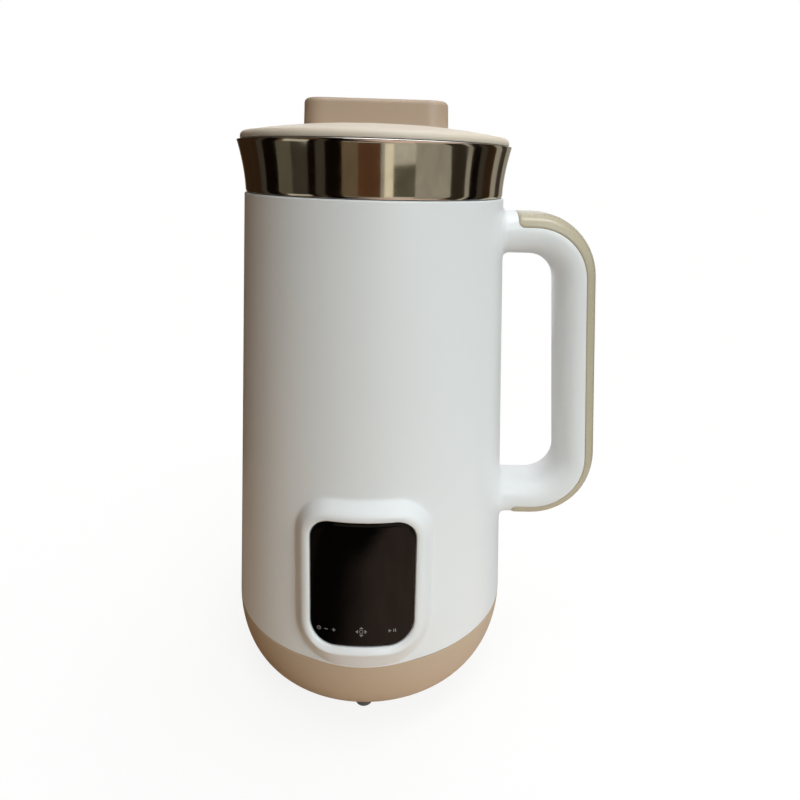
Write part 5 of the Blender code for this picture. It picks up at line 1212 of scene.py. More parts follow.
def grow_handle(shape, upper_loop, counts, lower_loop):
    section = quartered(oval(HANDLE_DEPTH / 2, HANDLE_THICKNESS / 2, HANDLE_POWER), counts)
    before = arm_root(shape, upper_loop, section, ARM_TOP, 1)
    last = arm_root(shape, lower_loop, section, ARM_LOW, -1)
    start, *between, end = grip_stations(0.0)
    draft = Vector((REBATE_DRAFT, 0, 0))
    rebate = [(start[0] + draft, *start[1:]), *between, (end[0] + draft, *end[1:])]
    rings = [frame_ring(section, *start, 0.0)]
    rings += [frame_ring(section, *station, REBATE_DEPTH) for station in rebate]
    rings.append(frame_ring(section, *end, 0.0))
    bridge(shape, climb(shape, before, rings), last)


def inlet_outline(grow, radius, steps=5):
    """Outline of the power inlet, (across, height) from its middle: its two upper corners are cut off."""
    half = INLET_HALF + grow
    tall = INLET_HALF_HEIGHT + grow
    slant = INLET_CUT + grow / 2
    corners = ((half, -tall), (half, tall - slant), (half - slant, tall),
               (slant - half, tall), (-half, tall - slant), (-half, -tall))
    return softened([(x, y, radius) for x, y in corners], steps)


def inlet_line(grow, radius, count):
    """The inlet's outline in the order of the wall's loop: from low on the side of +X, the low side first."""
    outline = inlet_outline(grow, radius, steps=8)
    start = max(range(len(outline)), key=lambda index: outline[index].x - outline[index].y)
    turned = outline[start::-1] + outline[:start:-1]
    return resampled(turned + turned[:1], count)[:-1]


def grow_inlet(shape, loop, counts, inner_loop):
    """The pocket for the inlet's flange, the hole for its body, and the pad round it inside the wall."""
    count = sum(counts)
    line = inlet_line(INLET_FLANGE + POCKET_GAP, FLANGE_CORNER, count)
    hole = inlet_line(POCKET_GAP, HOLE_CORNER, count)
    pad = inlet_line(INLET_FLANGE + PAD_MARGIN, PAD_CORNER, count)
    level = Vector((0, INLET_LEVEL))
    rings = []
    for share in INLET_PATCH_SHARES:
        flat = [vertex.co.xz.lerp(goal + level, share) for vertex, goal in zip(loop, line)]
        rings.append([Vector((p.x, math.sqrt(wall_radius(p.y) ** 2 - p.x ** 2), p.y)) for p in flat])
    seat, inside = INLET_FACE + POCKET_GAP / 2, INLET_FACE - PAD_DEPTH
    for outline, depth in ((line, seat), (hole, seat), (hole, inside), (pad, inside)):
        rings.append([Vector((p.x, depth, INLET_LEVEL + p.y)) for p in outline])
    bridge(shape, climb(shape, loop, rings), inner_loop)


def add_cell(shape, low_row, high_row, column):
    after = (column + 1) % len(low_row)
    shape.faces.new((low_row[column], low_row[after], high_row[after], high_row[column]))


def wall_ring(shape, angles, radius, height, before, missing=(), open_cells=()):
    """A ring of the moulding, joined to the one before it. The inlet's hole leaves out columns and cells."""
    ring = [None if column in missing else shape.verts.new(on_ring(angle, radius, height))
            for column, angle in enumerate(angles)]
    for column in range(len(angles)):
        if column not in open_cells:
            add_cell(shape, before, ring, column)
    return ring


def make_shell():
    shape = bmesh.new()
    heights = banded(WALL_LOW, ROW_BANDS)
    angles = banded(0.0, COLUMN_BANDS)[:-1]
    patches = [patch_cells(patch, angles, heights)
               for patch in (PANEL_PATCH, UPPER_ARM_PATCH, LOWER_ARM_PATCH, INLET_PATCH)]

    def inside(column, row, margin):
        return any(left + margin <= column < right and low + margin <= row < high
                   for left, right, low, high in patches)

    grid = [
        [None if inside(column, row, 1) else shape.verts.new(on_ring(angle, wall_radius(height), height))
         for column, angle in enumerate(angles)]
        for row, height in enumerate(heights)
    ]
    for row in range(len(heights) - 1):
        for column in range(len(angles)):
            if not inside(column, row, 0):
                add_cell(shape, grid[row], grid[row + 1], column)
    top = softened([
        (wall_radius(WALL_HIGH), WALL_HIGH, 0),
        (SHELL_TOP_RADIUS, SHELL_TOP, SHELL_ROUND),
        (FLANGE_INNER, SHELL_TOP, 0),
    ], steps=5, closed=False)
    low_flange = SHELL_TOP - FLANGE_THICKNESS
    flange = [(FLANGE_INNER, low_flange), (wall_radius(low_flange) - SHELL_WALL, low_flange)]
    before = grid[-1]
    for radius, height in (*top[1:], *flange):
        before = wall_ring(shape, angles, radius, height, before)
    panel, upper, lower, inlet = patches
    left, right, low, high = inlet
    lining = [None] * len(heights)
    for row in range(high, low - 1, -1):
        hole = range(left + 1, right) if low < row < high else ()
        cells = range(left, right) if row < high else ()
        radius = wall_radius(heights[row]) - SHELL_WALL
        before = wall_ring(shape, angles, radius, heights[row], before, hole, cells)
        lining[row] = before
    for inset in (SHELL_WALL, SHELL_FOOT_EDGE):
        before = wall_ring(shape, angles, wall_radius(SHELL_BOTTOM) - inset, SHELL_BOTTOM, before)
    for vertex in before:
        vertex.co.xy *= 1 + ledge(across_panel(vertex.co), SHELL_BOTTOM) / vertex.co.xy.length
    bridge(shape, before, grid[0])
    grow_panel(shape, *edge_loop(grid, panel))
    grow_handle(shape, *edge_loop(grid, upper), edge_loop(grid, lower, upside_down=True)[0])
    grow_inlet(shape, *edge_loop(grid, inlet), edge_loop(lining, inlet)[0])
    make_piece("shell_and_handle", shape, WHITE,
               stands_for=("outer_shell", "handle_frame"))


# Grip strip

def make_grip():
    """The strip fills the rebate; its rounded edge leaves a fine groove beside the frame."""
    rings = []
    for place, outward, from_end in grip_stations(GRIP_GAP):
        half = GRIP_HALF - GRIP_GAP - end_narrowing(from_end)
        distances = [-half * math.cos(angle) for angle in steps_to(math.pi, GRIP_COLUMNS)]
        ring = []
        for distance in distances:
            from_side = half - abs(distance)
            share = min(min(from_side, from_end) / GRIP_EDGE, 1.0)
            lift = GRIP_PROUD - GRIP_EDGE * (1 - math.sqrt(1 - (1 - share) ** 2))
            off_ridge = (from_side - GRIP_RIDGE_PLACE) / GRIP_RIDGE_WIDTH
            lift += GRIP_RIDGE * math.exp(-off_ridge ** 2) * min(from_end / GRIP_RIDGE_WIDTH, 1.0)
            ring.append(over_crown(place, outward, distance, lift))
        ring += [over_crown(place, outward, -distance, -GRIP_SUNK) for distance in distances]
        rings.append(ring)
    make_piece("grip_strip", skin(rings), KHAKI, stands_for=("handle_grip",))


# Panel glass and its marks

def make_glass():
    """Rings from the back of the pane round its bevelled edge to the middle of its face."""
    outline = glass_outline(0.0, GLASS_LOW, GLASS_HIGH, GLASS_COUNTS)
    inset = glass_outline(-GLASS_BEVEL, GLASS_LOW + GLASS_BEVEL, GLASS_HIGH - GLASS_BEVEL, GLASS_COUNTS)

    def lifted(line, rise):
        return [on_panel(*point, rise) for point in line]

    rings = [lifted(shrunk(outline, share), GLASS_BACK) for share in GLASS_BACK_SHARES]
    for angle in steps_to(math.pi / 2, BEVEL_STEPS):
        line = [a.lerp(b, 1 - math.cos(angle)) for a, b in zip(outline, inset)]
        rings.append(lifted(line, GLASS_FACE - GLASS_BEVEL * (1 - math.sin(angle))))
    rings += [lifted(shrunk(inset, share), GLASS_FACE) for share in GLASS_FACE_SHARES]
    make_piece("panel_pane", skin(rings), GLASS, stands_for=("touch_glass",))


def mark_plate(place, outline):
    """A printed mark: a thin plate that follows the pane."""
    return skin([[on_panel(place + x, MARK_LEVEL + y, rise) for x, y in outline]
                 for rise in (MARK_LOW, MARK_HIGH)])


def ring_mark(place, radius):
    inner = radius - RING_WIDTH
    rings = []
    for reach, rise in ((radius, MARK_LOW), (radius, MARK_HIGH), (inner, MARK_HIGH), (inner, MARK_LOW)):
        rings.append([
            on_panel(place + reach * math.cos(a), MARK_LEVEL + reach * math.sin(a), rise)
            for a in steps_to(math.tau, RING_SIDES)[:-1]
        ])
    return skin(rings, loop=True)


def make_marks():
    """Plain signs: clock, minus and plus on the left, a four-way pad, then play and pause."""
    line, reach = MARK_HALF_LINE, MARK_REACH
    shapes = [
        ring_mark(CLOCK_PLACE, CLOCK_RADIUS),
        mark_plate(CLOCK_PLACE, box(-HAND_HALF, 0, HAND_HALF, LONG_HAND)),
        mark_plate(CLOCK_PLACE, box(0, -HAND_HALF, SHORT_HAND, HAND_HALF)),
        mark_plate(MINUS_PLACE, box(-reach, -line, reach, line)),
        mark_plate(PLUS_PLACE, box(-reach, -line, reach, line)),
        mark_plate(PLUS_PLACE, box(-line, line, line, reach)),
        mark_plate(PLUS_PLACE, box(-line, -reach, line, -line)),
        ring_mark(PAD_PLACE, PAD_RADIUS),
    ]
    for quarter in range(4):
        turn = Matrix.Rotation(quarter * math.pi / 2, 2)
        shapes.append(mark_plate(PAD_PLACE, [turn @ Vector(corner) for corner in PAD_ARROW]))
    shapes.append(mark_plate(PLAY_PLACE, [(-PLAY_HALF, -reach), (PLAY_HALF, 0), (-PLAY_HALF, reach)]))
    shapes += [mark_plate(place, box(-line, -reach, line, reach)) for place in PAUSE_PLACES]
    make_piece("touch_marks", joined(shapes), MARKS)


# Base, bottom cover and feet

def make_base():
    foot = wall_radius(SHELL_BOTTOM)

    def bowl(radius, floor, steps):
        return [(BASE_FLAT + (radius - BASE_FLAT) * math.cos(a), SPLIT - (SPLIT - floor) * math.sin(a))
                for a in steps_to(math.pi / 2, steps)]

    profile = [
        (foot - LAP_STEP, SPLIT),
        (foot - BASE_EDGE, SPLIT),
        (foot, SPLIT - BASE_EDGE),
        *bowl(foot, 0.0, steps=32)[1:],
        (COVER_SEAT + BASE_EDGE, 0.0),
        (COVER_SEAT, BASE_EDGE),
        (COVER_SEAT, SEAT_LEVEL),
        (COVER_SEAT - SEAT_WIDTH, SEAT_LEVEL),
        (COVER_SEAT - SEAT_WIDTH, BASE_FLOOR),
        *reversed(bowl(foot - LAP_IN, BASE_FLOOR, steps=16)),
        (foot - LAP_IN, LAP_TOP),
        (foot - LAP_OUT, LAP_TOP),
    ]
    make_piece("base_bowl", lathe(profile, sides=160), TAN, stands_for=("base_shell",))


def air_slot():
    """A bar with round ends, standing across the cover."""
    outline = []
    for centre, start in ((VENT_END - VENT_HALF, -math.pi / 2), (VENT_START + VENT_HALF, math.pi / 2)):
        turns = [start + angle for angle in steps_to(math.pi, HALF_ROUND_STEPS)]
        outline += [(centre + VENT_HALF * math.cos(a), VENT_HALF * math.sin(a)) for a in turns]
    return prism(outline, CUT_LOW, CUT_HIGH)


def screw_places():
    first = math.pi / 3 - math.pi / 2
    return [polar(SCREW_CIRCLE, first + math.tau * step / 3, 0).xy for step in range(3)]


def make_cover():
    """The bottom cover, dished in the middle, with a sink for each screw and a ring of air slots."""
    shape = lathe([
        (0, COVER_THICKNESS),
        (0, COVER_DISH),
        (COVER_DISH_RADIUS, COVER_DISH),
        (COVER_DISH_RADIUS + COVER_DISH_SLOPE, 0.0),
        (COVER_RADIUS - COVER_EDGE, 0.0),
        (COVER_RADIUS - COVER_EDGE / 3, COVER_EDGE / 3),
        (COVER_RADIUS, COVER_EDGE),
        (COVER_RADIUS, COVER_THICKNESS),
    ], sides=120)
    tools = []
    for step in range(VENT_COUNT):
        turn = Matrix.Rotation(math.tau * (step + 0.5) / VENT_COUNT, 4, "Z")
        tools.append(moved(air_slot(), turn))
    tools += [set_at(lathe(SCREW_SINK, sides=32), *place) for place in screw_places()]
    make_piece("bottom_plate", cut(shape, joined(tools)), TAN,
               stands_for=("bottom_cover",))


def bottom_screw():
    """A pan-head screw with a cross recess; its head lies below z = 0."""
    head = [(HEAD_RADIUS * wide, -HEAD_HEIGHT * tall) for wide, tall in PAN_HEAD]
    shank = [(SCREW_SHANK, 0), (SCREW_SHANK, SCREW_LENGTH - SCREW_SHANK), (0, SCREW_LENGTH)]
    shape = lathe(head + shank, sides=32)
    for turn in (0, math.pi / 2):
        bar = prism(box(-CROSS_HALF, -CROSS_HALF_WIDTH, CROSS_HALF, CROSS_HALF_WIDTH),
                    -2 * HEAD_HEIGHT, CROSS_LEVEL)
        shape = cut(shape, moved(bar, Matrix.Rotation(turn, 4, "Z")))
    return shape


def make_bottom_screws():
    for number, place in enumerate(screw_places(), start=1):
        make_piece(f"cover_screw_{number}", set_at(bottom_screw(), *place, SCREW_LEVEL), SCREW_STEEL,
                   stands_for=(f"bottom_screw_{number}",))


def make_feet():
    profile = softened([
        (0, FLOOR, 0),
        (FOOT_RADIUS - FOOT_TAPER, FLOOR, FOOT_ROUND),
        (FOOT_RADIUS, FOOT_TOP, FOOT_TOP_ROUND),
        (0, FOOT_TOP, 0),
    ])
    for name, angle in FOOT_ANGLES.items():
        shape = set_at(lathe(profile, sides=40), *polar(FOOT_CIRCLE, angle, 0))
        make_piece(name + "_pad", shape, GREY_RUBBER, stands_for=(name,))


# Steel pot

def collar_radius(height):
    share = (height - COLLAR_FOOT) / (RIM - COLLAR_FOOT)
    return COLLAR_RADIUS + COLLAR_FLARE * max(share, 0.0) ** COLLAR_POWER


def make_pot():
    """The drawn pot: flared collar with a rounded rim, shoulder, straight wall and dished corner."""
    levels = [COLLAR_FOOT + rise for rise in steps_to(RIM - COLLAR_FOOT, COLLAR_LEVELS)[:-1]]
    outside = [(collar_radius(z), z) for z in levels]
    half = POT_WALL / 2
    rim_radius = collar_radius(RIM) - half
    bead = [(rim_radius + half * math.cos(a), RIM - half + half * math.sin(a))
            for a in steps_to(math.pi, HALF_ROUND_STEPS)]
    floor = COLLAR_FOOT + POT_WALL
    inside = [(collar_radius(z) - POT_WALL, max(z, floor)) for z in reversed(levels)]
    shoulder = softened([
        (COLLAR_RADIUS - POT_WALL, floor, 0),
        (POT_RADIUS - POT_WALL, floor, SHOULDER_ROUND),
        (POT_RADIUS - POT_WALL, POT_BOTTOM + POT_WALL, POT_CORNER - POT_WALL),
        (POT_HOLE, POT_BOTTOM + POT_WALL, 0),
    ], steps=14, closed=False)
    under = softened([
        (POT_HOLE, POT_BOTTOM, 0),
        (POT_RADIUS, POT_BOTTOM, POT_CORNER),
        (POT_RADIUS, COLLAR_FOOT, SHOULDER_UNDER_ROUND),
        (COLLAR_RADIUS - SHOULDER_SHORT, COLLAR_FOOT, 0),
    ], steps=14, closed=False)
    shape = lathe(outside[1:] + bead + inside[:-1] + shoulder + under, sides=180)
    make_piece("steel_pot_drawn", shape, MIRROR_STEEL, stands_for=("steel_pot",))


# Lid

def dome(radius):
    shoulder = LID_RADIUS - LID_EDGE
    return LID_TOP - (LID_TOP - LID_SHOULDER) * (radius / shoulder) ** LID_DROP_POWER


def steam_holes(profile, sides):
    return joined([set_at(lathe(profile, sides), x, STEAM_BEHIND) for x in STEAM_PLACES])


def make_lid_cover():
    shoulder = LID_RADIUS - LID_EDGE
    top = [(radius, dome(radius)) for radius in steps_to(shoulder, LID_DOME_STEPS)]
    edge_middle = LID_SHOULDER - LID_EDGE
    rounded = [(shoulder + LID_EDGE * math.sin(a), edge_middle + LID_EDGE * math.cos(a))
               for a in steps_to(math.pi / 2, LID_EDGE_STEPS)[1:]]
    low = [
        (LID_RADIUS, LID_BOTTOM + LID_LIP_ROUND),
        (LID_RADIUS - LID_LIP_BEVEL, LID_BOTTOM + LID_LIP_BEVEL),
        (LID_RADIUS - LID_LIP_ROUND, LID_BOTTOM),
        (LINER_RADIUS - LINER_WALL, LID_BOTTOM),
        (LINER_RADIUS - 2 * LINER_WALL, dome(LINER_RADIUS - 2 * LINER_WALL) - LID_WALL),
        (0, LID_TOP - LID_WALL),
    ]
    surface = dome(STEAM_BEHIND)
    holes = steam_holes([
        (0, LID_BOTTOM - CUT_PAST),
        (STEAM_RADIUS, LID_BOTTOM - CUT_PAST),
        (STEAM_RADIUS, surface + STEAM_CHAMFER_LOW),
        (STEAM_MOUTH, surface + STEAM_CHAMFER_HIGH),
        (STEAM_MOUTH, LID_TOP + CUT_PAST),
        (0, LID_TOP + CUT_PAST),
    ], sides=28)
    make_piece("lid_plate", cut(lathe(top + rounded + low, sides=160), holes), LID_BEIGE, body="lid",
               stands_for=("lid_cover",))


def knob_ring(grow, corner, height=None):
    """The knob's outline at a height, or just over the lid."""
    half_depth = KNOB_HALF_DEPTH + grow
    outline = quartered(rounded_box(KNOB_HALF + grow, -half_depth, half_depth, corner, corner), KNOB_COUNTS)
    return [Vector((*p, dome(p.length) + KNOB_GAP if height is None else height)) for p in outline]


def make_knob():
    """The oblong bar, with a small fillet on the lid, slightly drawn sides and a crowned top."""
    def lifted(ring, rise):
        return [point + Vector((0, 0, rise)) for point in ring]

    rings = [lifted(knob_ring(KNOB_FILLET, KNOB_CORNER), -KNOB_SUNK)]
    for angle in steps_to(math.pi / 2, KNOB_FILLET_STEPS):
        ring = knob_ring(KNOB_FILLET * (1 - math.sin(angle)), KNOB_CORNER)
        rings.append(lifted(ring, KNOB_FILLET * (1 - math.cos(angle))))
    edge_start = KNOB_TOP - KNOB_EDGE
    for share in KNOB_SIDE_SHARES:
        rings.append(knob_ring(-KNOB_DRAFT * share, KNOB_CORNER, LID_TOP + (edge_start - LID_TOP) * share))
    for angle in steps_to(math.pi / 2, KNOB_EDGE_STEPS):
        inset = KNOB_DRAFT + KNOB_EDGE * (1 - math.cos(angle))
        level = edge_start - KNOB_CROWN + KNOB_EDGE * math.sin(angle)
        rings.append(knob_ring(-inset, KNOB_CORNER - inset, level))
    edge = KNOB_DRAFT + KNOB_EDGE
    flat = knob_ring(-edge, KNOB_CORNER - edge, 0)
    for share in KNOB_TOP_SHARES:
        level = KNOB_TOP - KNOB_CROWN * share ** 2
        rings.append([Vector((p.x * share, p.y * share, level)) for p in flat])
    make_piece("lid_handle_bar", skin(rings), KNOB_BEIGE, body="lid",
               stands_for=("lid_knob",))


def make_liner():
    """The liner under the cover: a cup with a flange, its edges rounded."""
    profile = softened([
        (LINER_RADIUS, LINER_TOP, LINER_EDGE),
        (LINER_RADIUS - LINER_WALL, LINER_TOP, LINER_EDGE),
        (LINER_RADIUS - LINER_WALL, LINER_FLANGE + LINER_WALL, LINER_BEND),
        (LINER_PLUG - LINER_WALL, LINER_FLANGE + LINER_WALL, LINER_BEND),
        (LINER_PLUG - LINER_WALL, LINER_BOTTOM + LINER_WALL, LINER_INNER_CORNER),
        (0, LINER_BOTTOM + LINER_WALL, 0),
        (0, LINER_BOTTOM, 0),
        (LINER_PLUG, LINER_BOTTOM, LINER_CORNER),
        (LINER_PLUG, LINER_FLANGE, LINER_BEND),
        (LINER_RADIUS, LINER_FLANGE, LINER_RIM_EDGE),
    ])
    low, high = LINER_BOTTOM - CUT_PAST, LINER_BOTTOM + 2 * CUT_PAST
    holes = steam_holes([(0, low), (STEAM_RADIUS, low), (STEAM_RADIUS, high), (0, high)], sides=24)
    make_piece("lid_inner_cup", cut(lathe(profile, sides=150), holes), LINER_WHITE, body="lid",
               stands_for=("lid_liner",))


def make_seal():
    """The lid's silicone ring, with a drooping lip."""
    low = COLLAR_FOOT + POT_WALL + SEAL_GAP
    high = LINER_FLANGE - SEAL_GAP
    third = (high - low) / 3
    inner, outer = LINER_PLUG + SEAL_GAP, LINER_RADIUS - SEAL_INSET
    profile = softened([
        (inner, low + third, SEAL_EDGE),
        (POT_RADIUS + SEAL_LIP_OUT, low, SEAL_BEND),
        (outer - third, low, SEAL_LIP_EDGE),
        (outer, low + third, SEAL_LIP_EDGE),
        (outer, high, SEAL_EDGE),
        (inner, high, SEAL_EDGE),
    ], steps=5)
    make_piece("lid_silicone_ring", lathe(profile, sides=150), SILICONE, body="lid",
               stands_for=("lid_seal",))


# Power inlet

def make_inlet():
    """Flange, socket and its floor."""
    rings = []
    for grow, radius, depth in INLET_RINGS:
        outline = inlet_outline(grow, radius)
        rings.append([Vector((p.x, INLET_FACE + depth, INLET_LEVEL + p.y)) for p in outline])
    make_piece("inlet_socket", skin(rings), BLACK, stands_for=("power_inlet",))


def make_pins():
    """Flat pins with rounded tips."""
    for name, (across, up) in PIN_PLACES.items():
        rings = []
        for half, tall, behind in PIN_RINGS:
            outline = rounded_box(half, -tall, tall, half / 2, half / 2, steps=4)
            level = INLET_LEVEL + up
            rings.append([Vector((across + p.x, PIN_TIP - behind, level + p.y)) for p in outline])
        make_piece(name + "_blade", skin(rings), PIN_BRASS, stands_for=(name,))


# CAD pieces that stay

STAYING = {
    SATIN_STEEL: ("blade_upper", "blade_lower", "blade_nut", "blade_shaft", "shaft_seat", "seat_nut",
                  "overflow_probe", "temperature_sensor", "motor_can", "motor_shaft", "bearing_upper",
                  "bearing_lower"),
    SCREW_STEEL: ("bracket_screw_1", "bracket_screw_2", "bracket_screw_3", "handle_screw_upper",
                  "handle_screw_lower", "lid_screw_1", "lid_screw_2"),
    ALUMINIUM: ("heat_plate", "heating_ring", "motor_bracket"),
    BRONZE: ("shaft_bush",),
    COPPER: ("commutator",),
    FERRITE: ("armature", "magnet_left", "magnet_right", "lid_magnet", "power_transformer"),
    SILICONE: ("pot_gasket", "probe_bush"),
    GREY_RUBBER: ("shaft_seal", "shaft_coupling"),
    BLACK: ("motor_end_cap", "cooling_fan", "display_module", "lid_switch"),
    BOARD: ("control_board", "power_board"),
}


def finish_staying():
    for material, names in STAYING.items():
        for name in names:
            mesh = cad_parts[name].data
            mesh.materials.clear()
            mesh.materials.append(material)


# Floor, light and camera

# Spans are in metres: two go outwards from the object's middle, and the sides go from left to right
FLOOR_HALF = 6.0
FADE_SPAN = (0.05, 0.30)
FADE_START = 0.86
CLOTH_SPAN = (0.16, 0.62)
CLOTH_SIDES = (-0.08, 0.17)
PAPER_GLOW = (1.0, 1.0, 0.998, 1)
WARM_CLOTH = (0.57, 0.39, 0.235, 1)
PALE_CLOTH = (0.82, 0.80, 0.77, 1)
FAR_CLOTH = (0.12, 0.09, 0.065, 1)


def for_camera(tree, shown, hidden):
    """One shader for what the camera sees and another for all other light."""
    seen = node(tree, "ShaderNodeLightPath").outputs["Is Camera Ray"]
    return node(tree, "ShaderNodeMixShader", {0: seen, 1: hidden.outputs[0], 2: shown.outputs[0]}).outputs[0]


def pale_floor():
    """Pale paper for the camera, evenly lit further out; a dimmer table for the light that bounces off it."""
    material, tree, shader = blank_material("pale_floor")
    grain = placed_group(tree, GRAIN, Grain_Scale=140.0)
    rough_between(tree, shader, grain["Speckle"], low=0.7, high=0.9)
    paper = drifting(tree, (0.90, 0.90, 0.895), (0.88, 0.88, 0.875), amount=0.5)
    wire(tree, (paper, shader.inputs["Base Color"]))
    place = own_place(tree)
    away = node(tree, "ShaderNodeVectorMath", {0: place}, operation="LENGTH").outputs["Value"]
    glow = node(tree, "ShaderNodeEmission", {"Color": PAPER_GLOW})
    fade = soft_step(tree, away, *FADE_SPAN, low=FADE_START)
    bright = node(tree, "ShaderNodeMixShader", {0: fade, 1: shader.outputs[0], 2: glow.outputs[0]})
    side = soft_step(tree, parts_of(tree, place)["X"], *CLOTH_SIDES)
    cloth = mixed(tree, side, WARM_CLOTH, PALE_CLOTH)
    bounce = mixed(tree, soft_step(tree, away, *CLOTH_SPAN), cloth, FAR_CLOTH)
    table = node(tree, "ShaderNodeBsdfDiffuse", {"Color": bounce})
    wire(tree, (for_camera(tree, bright, table), tree.nodes["Material Output"].inputs["Surface"]))
    return material


def sheet(name, rows):
    """Faces between open rows of points, as an object."""
    shape = bmesh.new()
    made = [add_ring(shape, row) for row in rows]
    for low, high in zip(made, made[1:]):
        for index in range(len(low) - 1):
            shape.faces.new((low[index], low[index + 1], high[index + 1], high[index]))
    return placed(name, shape)


def make_floor():
    floor = sheet("floor", [[(x, y, FLOOR) for x in (-FLOOR_HALF, FLOOR_HALF)]
                            for y in (-FLOOR_HALF, FLOOR_HALF)])
    floor.data.materials.append(pale_floor())
    floor.visible_glossy = False


CARD_TONES = {
    "black": (0.004, 0.002, 0.001),
    "umber": (0.032, 0.016, 0.007),
    "dusk": (0.032, 0.023, 0.014),
    "slate": (0.046, 0.037, 0.025),
    "brown": (0.100, 0.042, 0.018),
    "olive": (0.105, 0.090, 0.056),
    "sand": (0.140, 0.096, 0.052),
    "stone": (0.330, 0.290, 0.215),
    "cream": (0.820, 0.720, 0.500),
    "daylight": (0.95, 1.00, 1.04),
}

# Cards round the jug for the steel to mirror: where each ends, in degrees from the front to the right,
# its tone, its lower edge, and for a leaning one how far its end leans at that edge
CARDS = (
    (-160, "daylight", -0.05), (-148, "sand", -0.24), (-107, "umber", -0.24), (-99, "slate", -0.24),
    (-83, "black", -0.24), (-68, "olive", -0.02), (-53, "slate", -0.03), (-46, "black", -0.24),
    (-38, "slate", -0.24), (-24, "black", -0.24), (-11, "sand", -0.15), (7, "brown", -0.12),
    (10, "stone", -0.11), (17, "cream", -0.09), (35, "olive", 0.0), (67, "stone", -0.24, -7),
    (82, "dusk", -0.24), (87, "stone", -0.05), (97, "black", -0.24), (105, "slate", -0.24),
    (118, "umber", -0.24), (128, "stone", -0.20), (140, "slate", -0.24), (157, "stone", -0.24),
    (180, "daylight", -0.05),
)
CARD_DISTANCE = 0.75
CARD_HIGH = 0.90
CARD_UPRIGHT = 0.06
CARD_STEPS = 6
CARD_DRIFT = 0.72

# A pale sheet and a table top, flat and below the object, which the steel and the glass mirror
SHEET_TONE = (0.50, 0.45, 0.33)
SHEET_LEVEL = -0.20
SHEET_NEAR = 0.78
SHEET_FAR = 1.70
SHEET_SPAN = (-78, 92)
SHEET_STEPS = 24
TABLE_TONE = (0.74, 0.52, 0.40)
TABLE_LEVEL = -0.42
TABLE_SIDES = (-0.60, 1.60)
TABLE_DEPTHS = (0.30, -1.60)
TABLE_SIDE_FADE = (-0.36, 0.16)
TABLE_FAR_FADE = (0.93, 1.05)
TABLE_SLANT = 0.30


def table_share(tree):
    """The table top's light: it fades out towards the left, and beyond a slanting far edge."""
    parts = parts_of(tree, own_place(tree))
    side = soft_step(tree, parts["X"], *TABLE_SIDE_FADE)
    away = maths(tree, "MULTIPLY", parts["Y"], -1.0)
    away = maths(tree, "SUBTRACT", away, maths(tree, "MULTIPLY", parts["X"], TABLE_SLANT))
    near = maths(tree, "SUBTRACT", 1.0, soft_step(tree, away, *TABLE_FAR_FADE))
    return maths(tree, "MULTIPLY", side, near)


def reflection_only(board, tone, share=None):
    """Make a board or sheet into one that nothing but the mirror-like surfaces see."""
    material, tree, shader = blank_material(board.name, Base_Color=(0, 0, 0, 1), Specular_IOR_Level=0.0,
                                            Emission_Strength=1.0)
    colour = drifting(tree, tone, [part * CARD_DRIFT for part in tone], amount=1.0, scale=9.0)
    if share:
        colour = mixed(tree, share(tree), (0, 0, 0, 1), colour)
    wire(tree, (colour, shader.inputs["Emission Color"]))
    board.data.materials.append(material)
    board.visible_camera = False
    board.visible_diffuse = False
    board.visible_shadow = False
    board.visible_transmission = False


def arc(radius, start, end, height, steps):
    """Points round the jug between two angles, in degrees from the front to the right."""
    turns = [start + turn for turn in steps_to(end - start, steps)]
    return [polar(radius, math.radians(turn - 90), height) for turn in turns]


def make_cards():
    start, start_lean = -180, 0
    for number, (end, tone, low_edge, *lean) in enumerate(CARDS, start=1):
        end_lean = lean[0] if lean else 0
        rows = [
            arc(CARD_DISTANCE, start + start_lean * leaning, end + end_lean * leaning, height, CARD_STEPS)
            for height, leaning in ((low_edge, 1), (CARD_UPRIGHT, 0), (CARD_HIGH, 0))
        ]
        reflection_only(sheet(f"card_{number}", rows), CARD_TONES[tone])
        start, start_lean = end, end_lean


def make_sheets():
    """A pale sheet beyond the cards for the flare's top, and a brown table top for the glass."""
    rows = [arc(reach, *SHEET_SPAN, SHEET_LEVEL, SHEET_STEPS) for reach in (SHEET_NEAR, SHEET_FAR)]
    reflection_only(sheet("pale_sheet", rows), SHEET_TONE)
    rows = [[(x, y, TABLE_LEVEL) for y in TABLE_DEPTHS] for x in TABLE_SIDES]
    reflection_only(sheet("table_top", rows), TABLE_TONE, table_share)


# The room's light on the object: it gets cooler to the right and to the back
WARM_ROOM = (0.085, 0.052, 0.026, 1)
COOL_ROOM = (0.35, 0.365, 0.375, 1)
COOL_TO_RIGHT = 0.62
COOL_TO_BACK = 0.30
COOL_IN_MIDDLE = 0.42

# Soft boxes: place, width and height, power in watts and colour
LIGHTS = {
    "key_softbox": ((1.0, -1.7, 1.15), (1.2, 1.4), 31.2, (0.88, 0.98, 1.0)),
    "top_softbox": ((0.35, 0.1, 1.9), (1.4, 1.8), 15.4, (0.985, 0.995, 1.0)),
    "top_strip": ((0.1, -0.15, 1.7), (1.4, 0.20), 4.6, (0.98, 0.99, 1.0)),
    "back_softbox": ((0.9, 1.7, 1.0), (1.4, 1.2), 10, (1.0, 0.99, 0.97)),
    "back_left_softbox": ((-0.5, 1.9, 0.45), (0.8, 1.2), 13, (1.0, 0.98, 0.94)),
}
LIGHT_AIM = Vector((0, 0, 0.12))


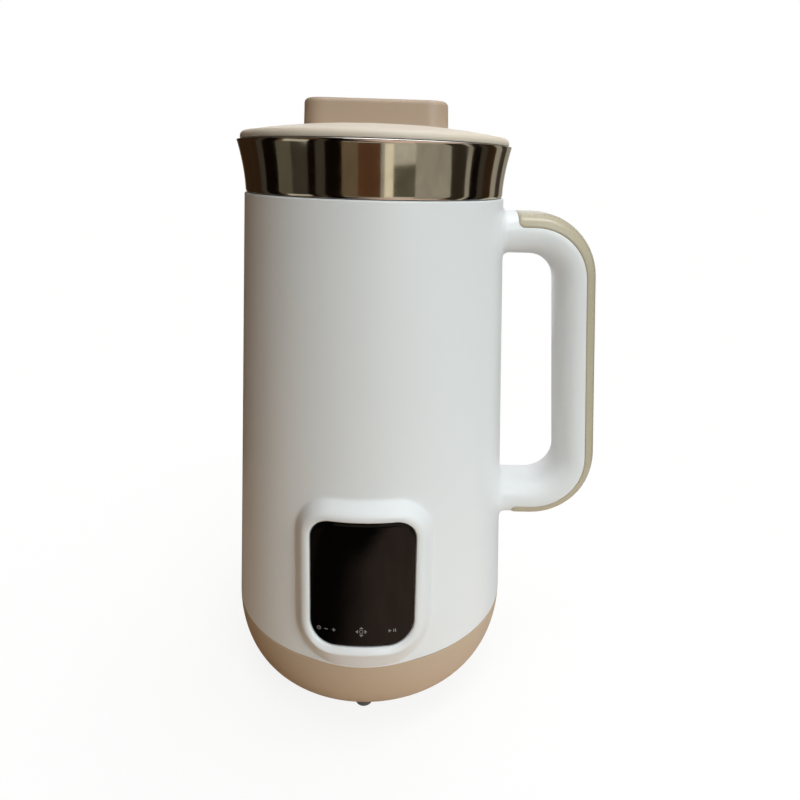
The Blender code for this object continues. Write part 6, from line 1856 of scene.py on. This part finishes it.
def make_world():
    """White behind the object; for its light, a room that is dim and warm at the front left."""
    world = bpy.data.worlds.new("studio")
    bpy.context.scene.world = world
    world.use_nodes = True
    tree = world.node_tree
    room = tree.nodes["Background"]
    parts = parts_of(tree, node(tree, "ShaderNodeTexCoord").outputs["Generated"])
    across = maths(tree, "MULTIPLY", parts["X"], COOL_TO_RIGHT)
    back = maths(tree, "MULTIPLY", parts["Y"], COOL_TO_BACK)
    share = maths(tree, "ADD", maths(tree, "ADD", across, back), COOL_IN_MIDDLE, clamp=True)
    wire(tree, (mixed(tree, share, WARM_ROOM, COOL_ROOM), room.inputs["Color"]))
    white = node(tree, "ShaderNodeBackground", {"Color": (1, 1, 1, 1)})
    wire(tree, (for_camera(tree, white, room), tree.nodes["World Output"].inputs["Surface"]))


def make_lights():
    for name, (place, size, watts, colour) in LIGHTS.items():
        data = bpy.data.lights.new(name, "AREA")
        data.shape = "RECTANGLE"
        data.size, data.size_y = size
        data.energy = watts
        data.color = colour
        light = bpy.data.objects.new(name, data)
        light.location = place
        light.rotation_euler = (LIGHT_AIM - Vector(place)).to_track_quat("-Z", "Y").to_euler()
        bpy.context.scene.collection.objects.link(light)


# The camera as fitted to the photograph: its place and three sides in metres, then its focal length and
# the middle of its view in pixels
CAMERA_PLACE = (0.021587, -0.286772, 0.231154)
CAMERA_RIGHT = (0.99958, 0.00678, 0.02819)
CAMERA_UP = (-0.02900, 0.23372, 0.97187)
CAMERA_BACK = (0.0, -0.97228, 0.23382)
CAMERA_FOCUS = 637.0
CAMERA_MIDDLE = (421.1, 321.1)
PICTURE_SIDE = 800.0
SENSOR = 36.0
CAMERA_YAW = math.radians(-1.0)
CAMERA_RANGE = (0.01, 50.0)


def make_camera():
    data = bpy.data.cameras.new("camera")
    data.sensor_width = SENSOR
    data.lens = CAMERA_FOCUS * SENSOR / PICTURE_SIDE
    data.shift_x = (PICTURE_SIDE / 2 - CAMERA_MIDDLE[0]) / PICTURE_SIDE
    data.shift_y = (CAMERA_MIDDLE[1] - PICTURE_SIDE / 2) / PICTURE_SIDE
    data.clip_start, data.clip_end = CAMERA_RANGE
    camera = bpy.data.objects.new("camera", data)
    sides = [Vector(side).normalized() for side in (CAMERA_RIGHT, CAMERA_UP, CAMERA_BACK)]
    turn = Matrix(sides).transposed().to_4x4()
    camera.matrix_world = Matrix.Rotation(CAMERA_YAW, 4, "Z") @ Matrix.Translation(CAMERA_PLACE) @ turn
    bpy.context.scene.collection.objects.link(camera)
    bpy.context.scene.camera = camera


def main():
    for make in (make_shell, make_grip, make_glass, make_marks, make_base, make_cover, make_bottom_screws,
                 make_feet, make_pot, make_lid_cover, make_knob, make_liner, make_seal, make_inlet,
                 make_pins, finish_staying, make_floor, make_cards, make_sheets, make_world, make_lights,
                 make_camera):
        make()
    bpy.context.scene.view_settings.view_transform = "Standard"


main()
